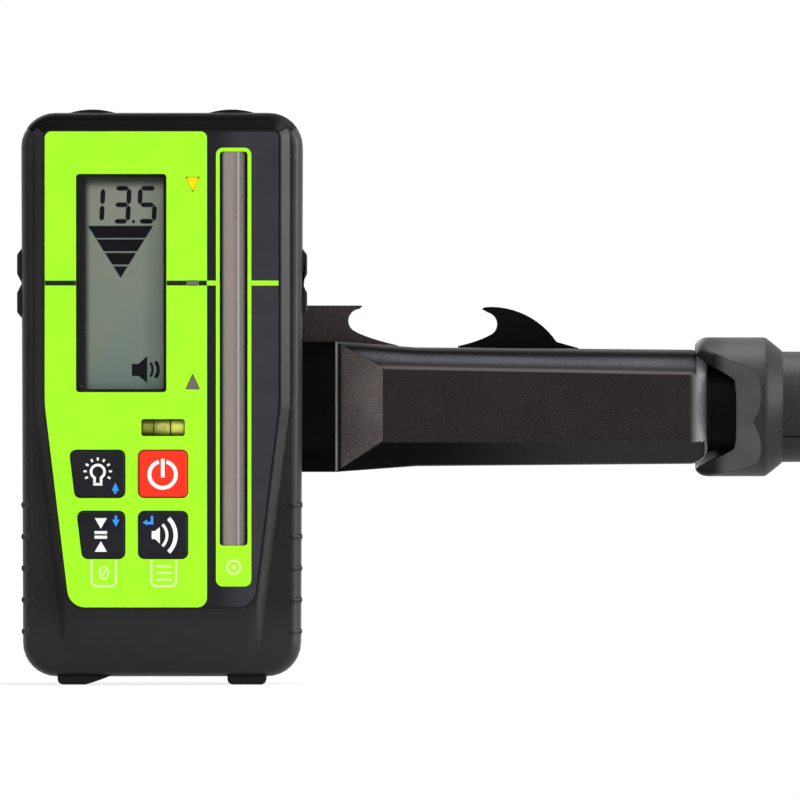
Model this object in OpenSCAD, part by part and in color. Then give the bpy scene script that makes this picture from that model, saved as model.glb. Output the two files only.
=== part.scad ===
// Laser receiver for a rotating level, on the bracket that clamps it to a levelling staff.
// Lengths are in millimetres. The receiver faces -Y, +X is to its right and +Z is up.
// The shapes are written from the middle of the receiver's parting line, on the ground under its feet,
// and then placed with the origin at the middle of the fixed jaw's gripping face.

/* [Case] */
// Width of the case at its top
case_w = 83; // [80:0.5:90]
// Height of the case without its feet
case_h = 166; // [162:1:180]
// Radius of the case's corners seen from the front
case_corner_r = 10; // [6:0.5:12]
// How much each side draws in towards the bottom
case_taper = 0.6; // [0:0.1:1.5]
// Depth from the parting line to the face
front_d = 15; // [14.5:0.5:18]
// Depth from the parting line to the back
rear_d = 17; // [16.5:0.5:22]
// Thickness of the case's walls
wall = 2.2; // [2:0.1:2.6]
// Width of the rounding along the case's edges
edge_w = 3.4; // [2.5:0.1:4]
// Depth of the rounding along the case's edges
edge_d = 5.8; // [4:0.1:6.5]

/* [Face] */
// Distance from the case's side to the edge of the face
face_margin = 6.4; // [6.2:0.1:8]
// Distance from the case's top to the top of the face
face_top_gap = 4.9; // [4.6:0.1:8]
// Distance from the case's bottom to the bottom of the face
face_bottom_gap = 19.7; // [16:0.1:24]
// Height of the stretch in which the face narrows
waist_h = 60.3; // [45:0.1:64]
// How much each side of the face draws in below its waist
face_draw = 7.3; // [3:0.1:8]
// Height of the face above the rails beside it
face_rise = 3.2; // [2:0.1:4]
// Width of the slope round the face
face_chamfer = 2.6; // [1.5:0.1:2.6]
// Width of the rim left round the overlay
face_rim = 0.4; // [0.3:0.1:0.8]
// Radius of the face's lower corners
face_foot_r = 6; // [3:0.5:9]
// Radius of the face's upper corners
face_top_r = 2.6; // [1.5:0.1:5]
// Thickness of the dark overlay
overlay_t = 0.5; // [0.3:0.1:0.8]
// Thickness of the printed labels
label_t = 0.2; // [0.1:0.05:0.3]
// Distance from the label's right edge to the sensor slot
label_gap = 3.75; // [3:0.05:4.5]

/* [Display] */
// Width of the display window, as a share of the face's width
lcd_w_share = 0.376; // [0.34:0.001:0.4]
// Height of the display window, as a share of the face's height
lcd_h_share = 0.4526; // [0.36:0.0001:0.5]
// Distance from the face's left edge to the display window, as a share of the face's width
lcd_side_share = 0.1425; // [0.11:0.0005:0.15]
// Distance from the top of the face to the display window
lcd_top_gap = 13.3; // [10:0.1:15]
// Thickness of the display's clear lens
lens_t = 1; // [0.8:0.1:1.4]
// Width of the ledge that carries the display's lens
lens_ledge = 0.8; // [0.5:0.1:1.2]
// Thickness of the display panel
panel_t = 2.2; // [1.6:0.1:2.6]
// Distance from the on-grade line to the arrow lights, as a share of the display's height
led_share = 0.453; // [0.3:0.001:0.48]
// Width of an arrow light
led_w = 4; // [3:0.1:4.6]

/* [Sensor] */
// Width of the sensor slot
slot_w = 8.2; // [6:0.1:9]
// Height of the sensor slot, as a share of the face's height
slot_h_share = 0.82; // [0.65:0.005:0.85]
// Distance from the face's right edge to the middle of the slot, as a share of the face's width
slot_side_share = 0.1985; // [0.18:0.0005:0.21]
// Distance from the top of the face to the top of the slot
slot_top_gap = 6.6; // [4:0.1:8]
// Width of the printed frame round the slot
slot_frame = 1.1; // [0.6:0.1:2]
// Height of the printed tab under the slot
slot_tab = 12; // [4:0.5:13]
// Number of photodiodes behind the slot
diode_count = 10; // [6:1:12]

/* [Keys] */
// Width of a right-hand key, as a share of the face's width
key_w_share = 0.2025; // [0.18:0.0005:0.21]
// Height of a key, as a share of the height left under the display
key_h_share = 0.213; // [0.18:0.001:0.22]
// Distance between the rows of keys, as a share of the height left under the display
key_pitch_share = 0.28; // [0.27:0.0005:0.3]
// Distance from the bottom of the face to the lower row, as a share of the height left under the display
key_bottom_share = 0.237; // [0.17:0.001:0.24]
// Distance from the slanted edge of the face to the left-hand keys, as a share of the face's width
key_edge_share = 0.093; // [0.065:0.001:0.1]
// Gap between the columns of keys, as a share of the face's width
key_column_share = 0.061; // [0.048:0.0005:0.07]
// Distance from the label's right edge to the right-hand keys, as a share of the face's width
key_inset_share = 0.0825; // [0.045:0.0005:0.085]
// Radius of a key's corners
key_corner_r = 1.6; // [0.8:0.1:3]
// How far a key stands out of the label
key_proud = 0.6; // [0.3:0.05:1]
// Travel of a key
key_travel = 0.8; // [0.4:0.1:0.9]

/* [Level vial] */
// Width of the window over the vial, as a share of a right-hand key's width
vial_w_share = 0.9; // [0.62:0.005:0.95]
// Height of the window over the vial, as a share of the height left under the display
vial_h_share = 0.078; // [0.064:0.001:0.085]
// Distance from the upper keys to the middle of the vial, as a share of the height left under the display
vial_rise_share = 0.106; // [0.09:0.0005:0.11]

/* [Pads and feet] */
// Height of the feet
foot_h = 2.4; // [1.5:0.1:4]
// Width of a foot
foot_w = 11.5; // [8:0.5:14]
// Depth of a foot
foot_d = 20; // [12:0.5:22]
// Distance from the case's side to the middle of a foot
foot_inset = 16.5; // [16:0.5:24]
// Length of a grade pad
pad_len = 20.6; // [14:0.2:26]
// Depth of a grade pad
pad_d = 14; // [10:0.5:16]
// How far a grade pad stands out of the case's side
pad_proud = 1.4; // [0.8:0.1:2]
// Width of the notch in a grade pad
notch_w = 5.6; // [3:0.1:8]
// Depth of the pockets that hold pads, feet and bumpers
pad_seat = 0.6; // [0.4:0.05:0.75]
// Width of a top bumper
bumper_w = 13.6; // [10:0.2:16]
// Height of a top bumper
bumper_rise = 1; // [0.6:0.1:1.6]
// Distance from the case's side to the middle of a top bumper
bumper_inset = 21; // [18.5:0.5:27]
// Number of ribs on each lower side
rib_count = 5; // [3:1:6]
// Distance between the ribs
rib_pitch = 9.3; // [7:0.1:10]
// Radius of a rib
rib_r = 1.25; // [0.8:0.05:1.5]

/* [Boards] */
// Distance from the front wall to the boards
board_gap = 3.6; // [3.4:0.1:4.2]
// Thickness of the main board
board_t = 1.6; // [1:0.1:1.6]
// Radius of the posts that carry the main board
post_r = 2.2; // [1.8:0.1:2.6]
// Radius of the sounder
sounder_r = 10; // [8:0.5:12]
// Thickness of the sounder
sounder_t = 4; // [3:0.5:6]

/* [Batteries] */
// Radius of a cell
cell_r = 7; // [6.8:0.05:7.1]
// Length of a cell with its nub
cell_len = 50.5; // [49:0.1:51]
// Distance between the cells; as many fit as there is room for between the case's screws
cell_pitch = 14.7; // [14.5:0.05:14.75]
// Thickness of the battery tray's walls
tray_t = 1.2; // [1:0.1:1.6]
// Radius of the door's hinge pin
hinge_r = 1; // [0.8:0.05:1.2]
// Length of a hinge lug on the door
lug_w = 6; // [4:0.5:8]

/* [Bracket] */
// Distance from the door's hinge up to the bracket's axis
bracket_rise = 16.8; // [16.6:0.1:24]
// Distance from the case's back to the spindle
arm_offset = 11; // [11:0.2:14]
// Thickness of the plate behind the case
plate_t = 8; // [6:0.2:9]
// Distance from the case's side to the ridge where the arm starts
arm_clear = 9.5; // [8:0.1:14]
// Length of the arm from its ridge to its end
arm_len = 110.2; // [106:0.2:130]
// Depth of the arm
arm_d = 22; // [21:0.2:24]
// Half the arm's height at its ridge
arm_half_root = 19.3; // [18.4:0.1:21]
// Half the arm's height where its flare ends
arm_half = 17.6; // [17:0.1:18]
// Half the arm's height at its end
arm_half_end = 16.9; // [16:0.1:17]
// Height of the front panel above the arm's axis
panel_up = 12.9; // [10:0.1:14]
// Height of the front panel below the arm's axis
panel_down = 10.3; // [8:0.1:13]
// Depth of the slopes round the front panel
bevel_d = 5; // [3:0.1:5.5]
// Radius of the arm's long edges
arm_edge_r = 3; // [1.5:0.1:4]
// Length of the slope from the ridge to the front panel
ridge_run = 14; // [8:0.2:18]
// Length of the flare from the ridge
flare_run = 24; // [19:0.2:30]
// Radius of the rounding at the arm's end
tail_r = 4.9; // [3:0.1:5.5]
// Thickness of the cover over the arm's channel
cover_t = 3; // [2.4:0.1:3.4]

/* [Jaws] */
// Distance from the ridge to the fixed jaw's gripping face
jaw_set = 6.1; // [5.5:0.1:8]
// Gap between the jaws as shown
jaw_gap = 39.8; // [34:0.2:44]
// How far the jaws reach behind the arm
jaw_reach = 22; // [16:0.5:26]
// Thickness of a jaw's wall
jaw_t = 6; // [5:0.1:7]
// Thickness of the rubber on a jaw
jaw_pad_t = 2.5; // [1.5:0.1:3]
// Height of the hooks above the arm's axis
hook_rise = 30; // [28:0.2:34]
// Radius of the hollow in a hook
hook_r = 3.5; // [2.5:0.1:4]
// Radius of the fin's back
fin_r = 23.5; // [22:0.1:25]
// Length of the shelf at the foot of a hook
shelf_len = 12.3; // [8:0.1:13]

/* [Clamp screw] */
// Radius of the spindle's thread
spindle_r = 3.9; // [3:0.1:4.2]
// Radius of the knob's skirt
skirt_r = 20.6; // [20:0.1:24]
// Length of the knob's skirt
skirt_len = 25.7; // [24:0.1:30]
// Width of the slope between the knob's skirt and its barrel
skirt_slope = 5; // [3:0.1:6]
// Radius of the knob's barrel
barrel_r = 16.3; // [14:0.1:17]
// Length of the knob's barrel
barrel_len = 19; // [12:0.5:30]
// Radius of a finger hollow where it meets the skirt's cavity
scallop_r = 4.9; // [4:0.1:5.4]
// Distance from the skirt's rim to the middle of a finger hollow
scallop_x = 8; // [6:0.1:9]
// How far the finger hollows are turned down from the front
scallop_turn = 13; // [0:1:30]
// Radius of the bracket screw
screw_r = 3.1; // [2.5:0.1:3.4]
// Radius of the bracket screw's head
head_r = 11; // [8:0.2:13]
// Height of the bracket screw's head
head_h = 10; // [7:0.5:12]

/* [Fits] */
// Gap round pieces that slide or press in and out
slide_gap = 0.3; // [0.2:0.05:0.4]
// Radial gap of a shaft in its bore
shaft_gap = 0.05; // [0.03:0.01:0.08]
// Gap round pieces that are set into a hole
set_gap = 0.1; // [0.05:0.01:0.15]

/* [Hidden] */

$fn = 48;
// Thickness of the slices that a lofted form is stretched over
thin = 0.02;
// Length by which a cut runs past a face, and a boss runs into a wall
over = 1;
// Points along a rounded corner, and steps across a rounded edge
arc_steps = 6;
edge_steps = 5;
case_black = [0.16, 0.16, 0.17];
rubber_black = [0.1, 0.1, 0.11];
lime = [0.65, 0.99, 0.2];
brass = [0.78, 0.65, 0.35];
steel = [0.6, 0.61, 0.63];
board_green = [0.1, 0.32, 0.18];

// The case's outline
case_z0 = foot_h;
case_z1 = foot_h + case_h;
function case_half(z) = case_w / 2 - case_taper * (case_z1 - z) / case_h;
case_corners = [
    [-case_half(case_z0), case_z0], [case_half(case_z0), case_z0],
    [case_half(case_z1), case_z1], [-case_half(case_z1), case_z1]
];
case_radii = [for (i = [0:3]) case_corner_r];
rail_d = front_d - face_rise;
back_in = rear_d - wall;

// The face and the levels behind it, from front to back
face_hw = case_w / 2 - face_margin;
face_z0 = case_z0 + face_bottom_gap;
face_z1 = case_z1 - face_top_gap;
waist_z = face_z0 + waist_h;
waist_r = 40;
function face_half(z) = face_hw - face_draw * max(0, waist_z - z) / waist_h;
function face_corners(z0) = [
    [-face_half(z0), z0], [face_half(z0), z0], [face_hw, waist_z],
    [face_hw, face_z1], [-face_hw, face_z1], [-face_hw, waist_z]
];
face_radii = [face_foot_r, face_foot_r, waist_r, face_top_r, face_top_r, waist_r];
face_y = -front_d;
overlay_y = face_y + label_t;
seat_y = overlay_y + overlay_t;
inner_y = seat_y + wall;
board_y = inner_y + board_gap;
panel_y = inner_y + 0.8;
// Width of the wall round the space under the raised face
face_wall = 1.2;
// Lowest level of the slope under the face
slope_z0 = case_z0 + edge_w + face_chamfer;

// Places on the face, from shares of its width and height
face_w = 2 * face_hw;
face_h = face_z1 - face_z0;
lcd_w = lcd_w_share * face_w;
lcd_h = lcd_h_share * face_h;
lcd_x = -face_hw + lcd_side_share * face_w + lcd_w / 2;
grade_z = face_z1 - lcd_top_gap - lcd_h / 2;
led_spread = led_share * lcd_h;
slot_x = face_hw - slot_side_share * face_w;
slot_z1 = face_z1 - slot_top_gap;
slot_h = slot_h_share * face_h;
slot_z0 = slot_z1 - slot_h;
slot_z = (slot_z0 + slot_z1) / 2;
label_x = slot_x - slot_w / 2 - label_gap;
led_inset = 2.2;
led_x = label_x - led_w / 2 - led_inset;
led_h = 1.08 * led_w;
led_chip_t = 0.8;
// The height left under the display is shared among the keys, the vial and the gaps
keypad_h = face_h - lcd_top_gap - lcd_h;
key_w = key_w_share * face_w;
key_h = key_h_share * keypad_h;
key_x1 = label_x - key_inset_share * face_w;
key_x0 = key_x1 - key_w;
function key_z(row) = face_z0 + key_h / 2 + (key_bottom_share + key_pitch_share * row) * keypad_h;
vial_x = (key_x0 + key_x1) / 2;
vial_z = key_z(1) + key_h / 2 + vial_rise_share * keypad_h;
vial_w = vial_w_share * key_w;
vial_h = vial_h_share * keypad_h;
vial_hidden = 0.4;
vial_r = vial_h / 2 + vial_hidden;
vial_len = vial_w + 2 * vial_hidden;
vial_y = seat_y + vial_r;

// Corners of a key: left-hand keys follow the slanted edge of the face
function key_left(left, z) = left ? key_edge_share * face_w - face_half(z) : key_x0;
function key_right(left) = left ? key_x0 - key_column_share * face_w : key_x1;
function key_corners(left, row) = let (z0 = key_z(row) - key_h / 2, z1 = key_z(row) + key_h / 2) [
    [key_left(left, z0), z0], [key_right(left), z0], [key_right(left), z1], [key_left(left, z1), z1]
];
key_radii = [for (i = [0:3]) key_corner_r];
KEYS = [[true, 1], [false, 1], [true, 0], [false, 0]];
key_flange = 0.9;
flange_t = 1;
flange_y = inner_y + set_gap;
plunger_r = 2;
plunger_h = 0.8;
switch_t = board_gap - set_gap - flange_t - plunger_h - key_travel - set_gap;
switch_half = 3;

// Case screws and board posts
boss_r = 3;
boss_inset = 1.9;
screw_x = case_w / 2 - wall - boss_r - boss_inset;
// As many cells lie side by side as fit between the screws' bosses
tray_wall = 1.4;
tray_room = screw_x - boss_r - set_gap - tray_wall - slide_gap;
cell_count = floor((2 * (tray_room - cell_r)) / cell_pitch) + 1;
bay_half = (cell_count - 1) / 2 * cell_pitch + cell_r + slide_gap;
tray_half = bay_half + tray_wall;
case_screw_r = 1.25;
case_head_r = 2.5;
case_head_h = 1.8;
// Depth of a sunk head's face under the surface, and depth and width of the cross in it
head_sink = 0.4;
cross_d = 0.9;
cross_w = 0.7;
screw_end = 10.6;
// Wall round the bores in the case's back
boss_wall = 2.2;
board_x0 = -face_hw + 3.8;
board_x1 = label_x - 1.2;
board_z0 = face_z0 + 2.6;
board_z1 = face_z1 - 3.3;
POSTS = [for (x = [board_x0 + 12, board_x1 - 6], z = [board_z0 + 3.5, board_z1 - 3.3]) [x, z]];
board_screw_r = 0.95;
rail_w = 1;
sensor_w = slot_w + 5;
sensor_board_t = 1.2;

// Gasket in the parting line
gasket_in = 0.95;
gasket_w = 0.8;
gasket_d = 0.7;

// Batteries, tray and door
cell_y = back_in - 0.9 - cell_r;
contact_t = 0.5;
contact_bump = 0.6;
tray_z0 = case_z0 + wall + 1.4;
cell_z0 = tray_z0 + tray_t + contact_t + contact_bump + 0.05;
cell_z1 = cell_z0 + cell_len;
tray_z1 = cell_z1 + contact_bump + contact_t + tray_t + 0.25;
tray_y0 = cell_y - cell_r - 0.2 - tray_t;
nub_h = 1.3;
nub_r = 2.6;
contact_half = 4;
bump_r = 3;
last_cell = cell_count - 1;
CELLS = [for (i = [0:last_cell]) (i - last_cell / 2) * cell_pitch];
door_half = bay_half - 0.35;
door_z0 = tray_z0 + tray_t + 0.4;
door_z1 = tray_z1 + 2;
lug_r = hinge_r + 1.2;
hinge_y = rear_d - lug_r - 0.3;
hinge_z = door_z1 + 1.6;
door_gap = 0.25;
seal_t = 0.8;
seal_w = 1;
// The hinge pin's ends lie in cheeks beside the door
cheek_in = 2;
cheek_wall = 1.2;
pin_half = door_half + door_gap + 0.2 + cheek_in;
// The opening in the back, for the door and its lugs
bay_z0 = door_z0 - door_gap;
bay_z1 = hinge_z + lug_r + 0.5;
seal_z0 = door_z0 + slide_gap;
seal_z1 = hinge_z - lug_r - set_gap;
sounder_z = case_z1 - 28.4;
sound_hole_r = 0.8;
sound_ring_r = 3.2;

// The bracket's stations along X and levels in Y and Z
arm_z = hinge_z + bracket_rise;
arm_y = rear_d + arm_offset;
arm_front = arm_y - arm_d / 2;
arm_back = arm_y + arm_d / 2;
ridge_x = case_w / 2 + arm_clear;
panel_x = ridge_x + ridge_run;
flare_x = ridge_x + flare_run;
arm_end = ridge_x + arm_len;
tail_x = arm_end - tail_r;
block_x = ridge_x - 13;
plate_x0 = -24;
plate_corner_r = 5;
plate_up = 15;
plate_down = 13.2;
plate_y1 = rear_d + plate_t;
channel_x0 = ridge_x + 11;
channel_x1 = arm_end - 10.2;
channel_half = 9;
channel_y0 = arm_front + 4;
cover_y0 = arm_back - cover_t;
cover_half_up = 11.5;
cover_x0 = channel_x0 - 4.6;
cover_x1 = channel_x1 + 4;
slot_half = 5;
ledge_up = 15.8;
ledge_z = arm_z + ledge_up;
ledge_y = arm_y + 0.5;
// The cover's screws, and the sunk heads
cover_screw_up = 8;
COVER_SCREWS = [
    for (x = [channel_x0 - 2.2, channel_x1 + 2], z = [-cover_screw_up, cover_screw_up]) [x, arm_z + z]
];
cover_screw_r = 1.2;
cover_head_r = 1.9;
cover_head_h = 1.2;
cover_screw_len = 6;
cover_sink = 0.2;
pin_r = 2;
pin_x = 17;
pin_depth = 5;
insert_r = screw_r + 1.3;
insert_len = 9.5;
screw_washer_r = screw_r + 4;

// The jaws
fixed_x = ridge_x + jaw_set;
moving_x = fixed_x + jaw_gap;
jaw_y0 = arm_back + slide_gap;
jaw_y1 = arm_back + jaw_reach;
jaw_z0 = arm_z - 14.8;
jaw_z1 = arm_z + 17.2;
pad_y0 = arm_back + 2;
hook_z = arm_z + hook_rise - 5.2;
// The webs behind a jaw's wall
web_z = 9;
web_t = 3;
web_drop = 2;
jaw_trim = 0.5;
foot_plate_w = 15.5;
shelf_t = 2.4;
// Slope and reach of the curve from a hollow into its foot
foot_lean = 30;
foot_run = 4.2;
foot_plate_t = 4.6;
carriage_w = 16;
carriage_half = channel_half - slide_gap;
neck_half = slot_half - slide_gap;
carriage_x = moving_x + jaw_pad_t + foot_plate_w / 2;
nut_r = spindle_r + 2.2;
jaw_screw_r = 1.25;
jaw_head_r = 2.1;
jaw_head_h = 1.4;
jaw_sink = 0.2;
jaw_screw_x = carriage_x + 3.2;
jaw_screw_y = arm_y + nut_r + 0.8;
jaw_head_y = jaw_y0 + foot_plate_t - jaw_sink - jaw_head_h;
JAW_SCREWS = [for (z = [-2.6, 2.6]) arm_z + z];

// The clamp screw, along X
journal_r = spindle_r - 0.9;
journal_len = 7.5;
tail_journal_r = spindle_r - 0.5;
bush_r = tail_journal_r + 2;
bush_flange_t = 1;
bush_flange_r = bush_r + 1.8;
washer_t = 1;
// Axial play of the knob on the arm's end
end_play = 0.03;
knob_x0 = arm_end - 3.6;
// The cup in the knob's skirt: its mouth, its bore and the run between them
cavity_r = 18.5;
cup_r = 14.5;
cup_run = 6;
cavity_floor = knob_x0 + 12.6;
hub_r = 13.2;
hub_x = arm_end + end_play + washer_t;
knob_insert_r = tail_journal_r + 2.4;
knob_insert_x = hub_x + 3;
knob_insert_len = 20;

// Middle of the fixed jaw's gripping face: the origin
clamp_point = [fixed_x, (pad_y0 + jaw_y1 - jaw_trim) / 2, arm_z];

// Direction of a vector
function unit(v) = v / norm(v);
// Half the angle at corner p between its neighbours a and b, and the direction of its middle
function half_angle(a, p, b) = acos(unit(a - p) * unit(b - p)) / 2;
function middle(a, p, b) = unit(unit(a - p) + unit(b - p));
// Points of an arc about c
function arc(c, r, a0, a1, n) = [for (i = [0:n]) let (a = a0 + (a1 - a0) * i / n) c + r * [cos(a), sin(a)]];
// Points after a of a curve that leaves it towards b and comes from b into c
function swoop(a, b, c, n) =
    [for (i = [1:n]) let (t = i / n) (1 - t) * (1 - t) * a + 2 * t * (1 - t) * b + t * t * c];
// Corners of a convex outline, moved inwards by d
function drawn_in(corners, d) = let (n = len(corners)) [
    for (i = [0:n - 1])
        let (a = corners[(i + n - 1) % n], p = corners[i], b = corners[(i + 1) % n])
            p + middle(a, p, b) * d / sin(half_angle(a, p, b))
];
// The arc that rounds corner p with radius r, for corners that run anticlockwise
function rounding(a, p, b, r) =
    let (h = half_angle(a, p, b), c = p + middle(a, p, b) * r / sin(h))
    let (start = p + unit(a - p) * r / tan(h) - c, a0 = atan2(start.y, start.x))
    arc(c, r, a0, a0 + 180 - 2 * h, arc_steps);
// A convex outline drawn in by d, with every corner rounded about the centre that it had before
function outline(corners, radii, d = 0) = let (n = len(corners), c = drawn_in(corners, d)) [
    for (i = [0:n - 1])
        each rounding(c[(i + n - 1) % n], c[i], c[(i + 1) % n], max(radii[i] - d, 0.2))
];
function case_outline(d) = outline(case_corners, case_radii, d);
function face_outline(d, z0 = face_z0) = outline(face_corners(z0), face_radii, d);
function key_outline(left, row, d) = outline(key_corners(left, row), key_radii, d);
// A rectangle with rounded corners, about a middle
function plate(x, z, w, h, r) = outline(
    [[x - w / 2, z - h / 2], [x + w / 2, z - h / 2], [x + w / 2, z + h / 2], [x - w / 2, z + h / 2]],
    [r, r, r, r]);
// The label's outline follows the face on the left and has rounded corners on the right
function label_outline(d) = outline(
    [[-face_half(face_z0), face_z0], [label_x + d, face_z0], [label_x + d, face_z1],
        [-face_hw, face_z1], [-face_hw, waist_z]],
    [face_foot_r, 3.5, face_top_r, face_top_r, waist_r], d);
// An arrow light: a triangle that points down for way = -1 and up for way = 1
function arrow(way, d) = let (z = grade_z - way * led_spread, tip = [led_x, z + way * led_h / 2]) drawn_in(
    way > 0
        ? [[led_x - led_w / 2, z - led_h / 2], [led_x + led_w / 2, z - led_h / 2], tip]
        : [tip, [led_x + led_w / 2, z + led_h / 2], [led_x - led_w / 2, z + led_h / 2]], d);
function grade_light(d) = plate(led_x, grade_z, 0.8 * led_w - 2 * d, 1.4 - 2 * d, 0.3);

// An outline drawn in X and Z, as a solid from y0 to y1
module slab(y0, y1) {
    translate([0, y1, 0]) rotate([90, 0, 0]) linear_extrude(y1 - y0) children();
}
// An outline drawn in Y and Z, as a solid from x0 to x1
module bar(x0, x1) {
    translate([x0, 0, 0]) rotate([90, 0, 90]) linear_extrude(x1 - x0) children();
}
// A box between two corners
module block(a, b) {
    translate(a) cube(b - a);
}
// A round post along Y at a place on the face
module post(p, y0, y1, r) {
    translate([p.x, y0, p[1]]) rotate([-90, 0, 0]) cylinder(r = r, h = y1 - y0);
}
// A round shaft along X on the clamp's axis
module shaft(x0, x1, r) {
    translate([x0, arm_y, arm_z]) rotate([0, 90, 0]) cylinder(r = r, h = x1 - x0);
}
// A tube along X on the clamp's axis
module sleeve(x0, x1, r, bore) {
    difference() {
        shaft(x0, x1, r);
        shaft(x0 - over, x1 + over, bore);
    }
}
// A capsule between two points in one XY plane
module capsule(a, b, r) {
    d = b - a;
    translate(a) sphere(r);
    translate(b) sphere(r);
    translate(a) rotate([0, 90, atan2(d.y, d.x)]) cylinder(r = r, h = norm(d));
}

// Places of the six case screws
module at_case_screws() {
    for (x = [-screw_x, screw_x], z = [case_z0 + screw_end, arm_z + 6.2, case_z1 - screw_end - 0.8])
        translate([x, 0, z]) children();
}
// Ring in the parting line, grown by d
module gasket_ring(d) {
    slab(-gasket_d - d, gasket_d + d) difference() {
        polygon(case_outline(gasket_in - d));
        polygon(case_outline(gasket_in + gasket_w + d));
    }
}
// Outline of the right-hand grade pad, with its notch at the on-grade line
module grade_pad_form() {
    half = pad_len / 2;
    x = case_half(grade_z);
    x1 = x + pad_proud;
    slope = 1.3 * pad_proud;
    slab(edge_d - rail_d, edge_d - rail_d + pad_d) translate([0, grade_z]) polygon([
        [x - pad_seat, -half], [x, -half], [x1, slope - half], [x1, -notch_w / 2], [x, 0],
        [x1, notch_w / 2], [x1, half - slope], [x, half], [x - pad_seat, half]
    ]);
}
// A bumper is a low arch on a base that sits in the case's top
module bumper_form(side) {
    half = bumper_w / 2;
    r = (half * half + bumper_rise * bumper_rise) / (2 * bumper_rise);
    sweep = asin(half / r);
    slab(-5, 7) translate([side * (case_w / 2 - bumper_inset), case_z1]) polygon(concat(
        [[-half, -pad_seat], [half, -pad_seat]],
        arc([0, bumper_rise - r], r, 90 - sweep, 90 + sweep, 2 * arc_steps)));
}
// A foot is a rounded block that sits in the case's bottom
module foot_form(side) {
    slab(-foot_d * 0.45, foot_d * 0.55) translate([side * (case_w / 2 - foot_inset), 0]) difference() {
        polygon(plate(0, foot_h, foot_w, 2 * foot_h, 0.7 * foot_h));
        translate([-foot_w, foot_h + pad_seat]) square(2 * foot_w);
    }
}
// Pockets in both shells
module outer_pockets() {
    for (side = [0, 1]) mirror([side, 0, 0]) grade_pad_form();
    for (side = [-1, 1]) {
        bumper_form(side);
        foot_form(side);
    }
}

// Half of the case, lofted from the parting line out to its rounded edge
module case_half_form(depth) {
    hull() {
        slab(-thin, 0) polygon(case_outline(0));
        for (k = [0:edge_steps]) {
            a = 90 * k / edge_steps;
            y = edge_d * (1 - sin(a)) - depth;
            slab(y, y + thin) polygon(case_outline(edge_w * (1 - cos(a))));
        }
    }
}
// The raised face, with its slope running down to the bottom of the case
module face_form() {
    mid_z = 0.45 * face_z0 + 0.55 * slope_z0;
    hull() {
        slab(face_y, face_y + thin) polygon(face_outline(0));
        slab(face_y + 0.3 * face_rise, face_y + 0.3 * face_rise + thin)
            polygon(face_outline(-0.3 * face_chamfer, mid_z));
        slab(-rail_d, -rail_d + over) polygon(face_outline(-face_chamfer, slope_z0));
    }
}
module side_ribs() {
    for (side = [0, 1], k = [0:rib_count - 1]) {
        z = waist_z - 29.5 - k * rib_pitch;
        x = case_half(z);
        mirror([side, 0, 0]) capsule([x - 0.8 * edge_w, -rail_d + 0.15 * edge_d, z],
            [x - 0.25 * edge_w, -rail_d + 0.62 * edge_d, z], rib_r);
    }
}
module front_shell() {
    color(case_black) difference() {
        union() {
            difference() {
                union() {
                    case_half_form(rail_d);
                    face_form();
                    side_ribs();
                }
                slab(wall - rail_d, over) polygon(case_outline(wall));
                slab(inner_y, 0) polygon(face_outline(face_wall));
            }
            at_case_screws() post([0, 0], wall - rail_d - over, 0, boss_r);
            for (p = POSTS) post(p, inner_y - over, board_y, post_r);
            for (side = [-1, 1]) translate([slot_x + side * (sensor_w - rail_w) / 2 - rail_w / 2, 0, 0])
                block([0, inner_y - over, slot_z0], [rail_w, board_y, slot_z1]);
        }
        gasket_ring(set_gap);
        outer_pockets();
        at_case_screws() post([0, 0], wall - rail_d, over, case_screw_r + set_gap);
        for (p = POSTS) post(p, inner_y, board_y + over, board_screw_r + set_gap);
        slab(face_y - over, seat_y) polygon(face_outline(face_rim));
        slab(face_y - over, face_y + lens_t)
            polygon(plate(lcd_x, grade_z, lcd_w + 2 * set_gap, lcd_h + 2 * set_gap, 1));
        slab(face_y - over, inner_y + over)
            polygon(plate(lcd_x, grade_z, lcd_w - 2 * lens_ledge, lcd_h - 2 * lens_ledge, 0.6));
        face_holes(face_y - over, inner_y + over);
        slab(face_y - over, inner_y + over)
            polygon(plate(vial_x, vial_z, vial_len + 2 * set_gap, 2 * (vial_r + set_gap), 0.6));
    }
}
// Holes for the keys, the sensor lens and the lights
module face_holes(y0, y1) {
    slab(y0, y1) for (k = KEYS) polygon(key_outline(k[0], k[1], -slide_gap));
    slab(y0, y1) polygon(plate(slot_x, slot_z, slot_w, slot_h, 1));
    slab(y0, y1) for (way = [-1, 1]) polygon(arrow(way, -set_gap));
    slab(y0, y1) polygon(grade_light(-set_gap));
}

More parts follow.
